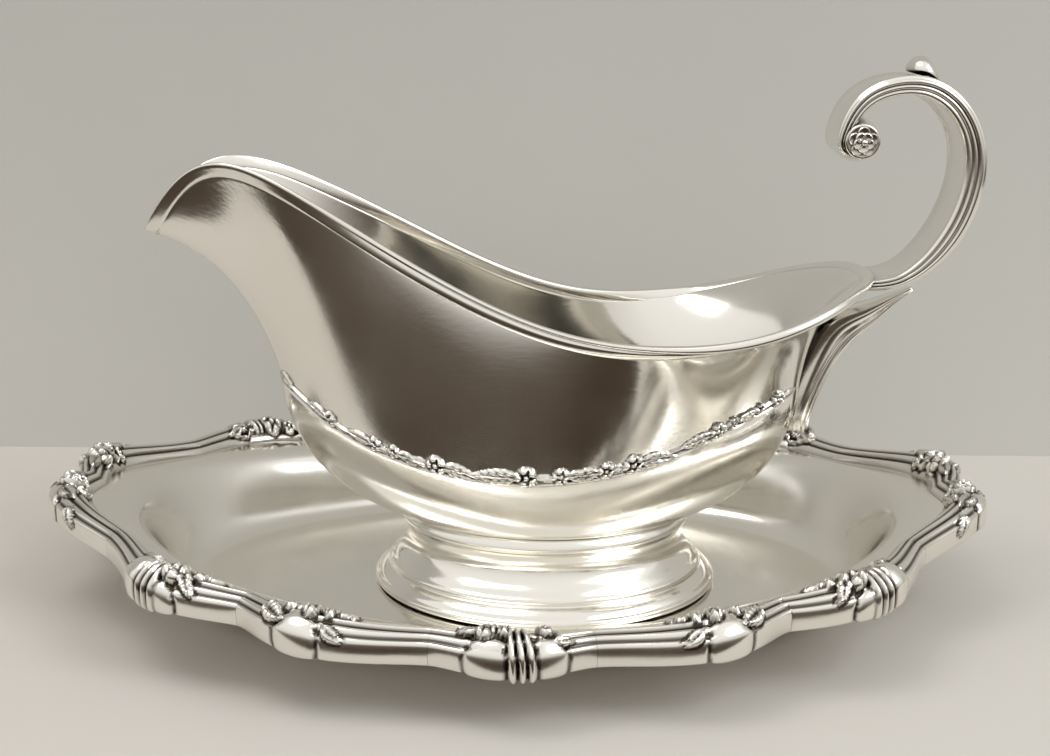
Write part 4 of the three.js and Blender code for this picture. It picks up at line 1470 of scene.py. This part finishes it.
    def make_thumb_leaf(self) -> bpy.types.Object:
        """Models the thumb leaf as a ribbed leaf that curls off the strap."""
        half_shape = ((1, 0.15), (0.94, 0.42), (0.74, 0.72), (0.5, 0.86), (0.34, 0.87), (0.16, 1))
        rings = []
        for i in range(self.leaf_steps + 1):
            share = i / self.leaf_steps
            blunt = math.sqrt(max(1 - ((share - 0.56) / 0.44) ** 2, 0.0)) if share > 0.56 else 1.0
            spread = 0.3 + 0.7 * math.sin(math.pi * min(share / 1.1, 0.5)) ** 0.8
            half = self.leaf_width / 2 * spread * max(blunt, 0.35)
            floor = self.thickness / 2 - 0.5 + 3.2 * max(share - 0.66, 0) ** 1.5
            swell = math.sin(math.pi / 2 * min(share / 0.72, 1)) ** 1.5
            rise = 0.5 + (self.leaf_rise + 1.6) * swell * max(blunt, 0.3)
            left = [(-half * y, floor + rise * z) for y, z in half_shape]
            shape = [*mirrored(left, [(0, floor + rise + 0.05)]), (0, floor)]
            rings.append(self.across(self.leaf_start + self.leaf_length / self.line.lengths[-1] * share, shape))
        obj = swept("thumb_leaf_cast", rings)
        refine(obj, 1)
        return dress(obj, CAST, self.form.body, ["thumb_leaf"], sharp=42)

    def make_tail(self, cutter: bpy.types.Object, ornaments: Ornaments) -> bpy.types.Object:
        """Models the lower leaf: a bracket with a reeded ridge, a free point and a small roll."""
        form = self.form

        def spot(run: float, fall: float) -> tuple[float, float, float]:
            """Gives a station from its shares of the tail's run and fall."""
            x = form.stern + lerp(-self.tail_inset, self.tail_point, run)
            return x, 0, form.rim_stern - self.tail_drop * fall

        stations = (
            ((1, 0.075), (0.97, 0.045), 0.12), ((0.785, 0.165), (0.72, 0.11), 0.55), ((0.58, 0.3), (0.42, 0.18), 0.86),
            ((0.385, 0.43), (0.11, 0.26), 1), ((0.2, 0.62), (-0.08, 0.48), 0.96), ((0.065, 0.83), (-0.23, 0.76), 0.8),
            ((0.005, 1.0), (-0.31, 0.94), 0.62), ((0, 1.07), (-0.27, 1.05), 0.4),
        )
        outer = Spline([spot(*station[0]) for station in stations])
        inner = Spline([spot(*station[1]) for station in stations])
        width = Spline([(i, 0, station[2] * self.tail_width / 2) for i, station in enumerate(stations)])
        side = ((1, 0), (0.9, 0.25), (0.8, 0.45), (0.86, 0.56), (0.96, 0.62), (0.98, 0.68), (0.86, 0.72),
                (0.84, 0.76), (0.92, 0.8), (0.86, 0.86), (0.66, 0.89), (0.6, 0.9), (0.62, 0.94), (0.46, 0.98),
                (0.2, 0.99))
        outline = mirrored(side, [(0, 1.0)])
        rings = []
        for i in range(self.tail_steps + 1):
            t = i / self.tail_steps
            start, end, half = inner.at(t), outer.at(t), width.at(t).z
            rings.append([
                form.placed(start.lerp(end, share) + Vector((0, y * half, 0))) for y, share in outline
            ])
        bracket = swept("bracket", rings)
        refine(bracket, 1)
        apply_modifier(bracket, "BOOLEAN", operation="DIFFERENCE", object=cutter, solver="EXACT")
        parts = [bracket]
        foot = form.placed(outer.at(1) + Vector((0.6, 0, -0.8)))
        for y in (-2.6, -1.3, 0, 1.3, 2.6):
            size = 1.75 - 0.12 * abs(y)
            place = on_axes(foot + Vector((-0.6, y, 0)), Vector((0, 1, 0)), Vector((1, 0, 0)), size)
            parts.append(copied(ornaments.made["bead"], place))
        return dress(join("handle_tail_leaf", parts), REEDED, form.body, ["handle_tail"], sharp=42)

    def build(self, bowl: Bowl, ornaments: Ornaments) -> None:
        """Builds the handle's pieces."""
        cutter = bowl.cutter()
        self.make_strap(cutter, ornaments)
        self.make_tail(cutter, ornaments)
        bpy.data.objects.remove(cutter)
        self.make_rosettes(ornaments)
        self.make_thumb_leaf()


# Studio


@dataclass
class Studio:
    """Camera, floor, backdrop and soft light."""

    eye: tuple[float, float, float] = (4.0, -364.0, 146.0)
    yaw: float = -0.0064
    pitch: float = 0.2489
    roll: float = -0.0074
    focal_pixels: float = 1500.0
    frame_pixels: float = 1050.0
    floor_tone: Tone = (0.60, 0.57, 0.53)
    wall_tone: Tone = (0.60, 0.59, 0.56)
    wall_place: float = 113.0
    floor_front: float = -108.0
    room: dict[float, Tone] = field(default_factory=lambda: {
        0.0: (0.06, 0.043, 0.03), 0.33: (0.06, 0.043, 0.03), 0.43: (0.12, 0.098, 0.078), 0.49: (0.42, 0.4, 0.37),
        0.54: (0.72, 0.7, 0.66), 0.75: (0.9, 0.89, 0.85), 1.0: (0.97, 0.96, 0.93),
    })

    def camera(self) -> None:
        """Sets the camera at the photograph's viewing angle."""
        data = bpy.data.cameras.new("camera")
        data.sensor_width = 36.0
        data.lens = self.focal_pixels / self.frame_pixels * data.sensor_width
        data.clip_start = 0.01
        data.clip_end = 20.0
        camera = bpy.data.objects.new("camera", data)
        bpy.context.scene.collection.objects.link(camera)
        ahead = Vector((
            math.sin(self.yaw) * math.cos(self.pitch), math.cos(self.yaw) * math.cos(self.pitch), -math.sin(self.pitch)
        ))
        right = Vector((math.cos(self.yaw), -math.sin(self.yaw), 0))
        down = ahead.cross(right)
        across = right * math.cos(self.roll) + down * math.sin(self.roll)
        below = ahead.cross(across)
        turn = Matrix((across, -below, -ahead)).transposed().to_4x4()
        camera.matrix_world = Matrix.Translation(Vector(self.eye) * MM) @ turn
        bpy.context.scene.camera = camera

    @staticmethod
    def _matt(name: str, tone: Tone, one_sided: bool = False) -> bpy.types.Material:
        """Builds a plain matt material with a faint grain.

        Args:
            name: Name of the material.
            tone: Its colour.
            one_sided: True if it can be looked through from behind.

        Returns:
            The material.
        """
        made = bpy.data.materials.new(name)
        graph, nodes = Graph(made), made.node_tree.nodes
        colour = graph.mix(graph.noise(graph.place(), 12.0, 2.0), tone, tuple(part * 0.96 for part in tone))
        shader = nodes["Principled BSDF"]
        graph.feed(shader, {"Roughness": 0.7, "Base Color": colour})
        if one_sided:
            behind = graph.add("NewGeometry", "Backfacing", {})
            clear = graph.add("BsdfTransparent", "BSDF", {})
            either = graph.add("MixShader", "Shader", {"Fac": behind, 1: shader.outputs["BSDF"], 2: clear})
            graph.feed(nodes["Material Output"], {"Surface": either})
        return made

    @staticmethod
    def _sheet(name: str, place: Matrix, size: tuple[float, float]) -> bpy.types.Object:
        """Lays a flat sheet of a size in metres at a place."""
        deselect_all()
        bpy.ops.mesh.primitive_plane_add(size=1.0)
        sheet = bpy.context.active_object
        sheet.name = name
        sheet.data.transform(place @ Matrix.Diagonal((*size, 1, 1)))
        return sheet

    def stage(self) -> None:
        """Lays the floor and stands the backdrop."""
        back, front = self.wall_place * MM, self.floor_front * MM
        flat = Matrix.Translation((0, (back + front) / 2, -0.0004))
        floor = self._sheet("floor", flat, (1.2, back - front))
        floor.data.materials.append(self._matt("floor_paper", self.floor_tone))
        upright = Matrix.Translation((0, back, 0.499)) @ Matrix.Rotation(math.pi / 2, 4, "X")
        wall = self._sheet("backdrop", upright, (2.4, 1.0))
        wall.data.materials.append(self._matt("backdrop_paper", self.wall_tone, one_sided=True))

    @staticmethod
    def _panel(name: str, place: Tone, size: tuple[float, float], power: float, tone: Tone) -> None:
        """Hangs one soft panel of light, aimed at the boat; lengths are in metres."""
        data = bpy.data.lights.new(name, "AREA")
        data.shape = "RECTANGLE"
        data.size, data.size_y = size
        data.energy = power
        data.color = tone
        lamp = bpy.data.objects.new(name, data)
        lamp.location = place
        lamp.rotation_mode = "QUATERNION"
        lamp.rotation_quaternion = (Vector((0, 0, 0.05)) - Vector(place)).to_track_quat("-Z", "Y")
        bpy.context.scene.collection.objects.link(lamp)

    def light(self) -> None:
        """Hangs the panels and shades the surrounding room."""
        self._panel("window", (0.9, -0.5, 0.95), (0.7, 0.7), 6.5, (0.94, 0.97, 1.0))
        self._panel("overhead", (-0.35, 0.1, 1.1), (0.9, 0.6), 5.0, (1.0, 0.98, 0.95))
        world = bpy.data.worlds.new("room")
        bpy.context.scene.world = world
        graph = Graph(world)
        toward = graph.add("TexCoord", "Generated", {})
        lift = graph.spread(graph.add("SeparateXYZ", "Z", {"Vector": toward}), -1.0, 1.0, 0.0, 1.0)
        ramp = graph.add("ValToRGB", "Color", {"Fac": lift})
        steps = ramp.node.color_ramp.elements
        steps[0].position, steps[0].color = 0.0, (*self.room[0.0], 1)
        steps[1].position, steps[1].color = 1.0, (*self.room[1.0], 1)
        for position, tone in self.room.items():
            if 0 < position < 1:
                steps.new(position).color = (*tone, 1)
        graph.feed(world.node_tree.nodes["Background"], {"Color": ramp, "Strength": 1.0})

    def build(self) -> None:
        """Sets up everything that isn't the object."""
        self.camera()
        self.stage()
        self.light()
        bpy.context.scene.view_settings.view_transform = "Standard"


def main() -> None:
    """Builds the studio, the underplate and the gravy boat."""
    logging.basicConfig(level=logging.INFO, format="%(name)s: %(message)s")
    Studio().build()
    ornaments = Ornaments()
    ornaments.build()
    Underplate().build()
    form = BoatForm()
    bowl = Bowl(form)
    bowl.build()
    Foot(form).build()
    Girdle(form).build()
    Handle(form).build(bowl, ornaments)
    ornaments.clear()


if __name__ == "__main__":
    main()
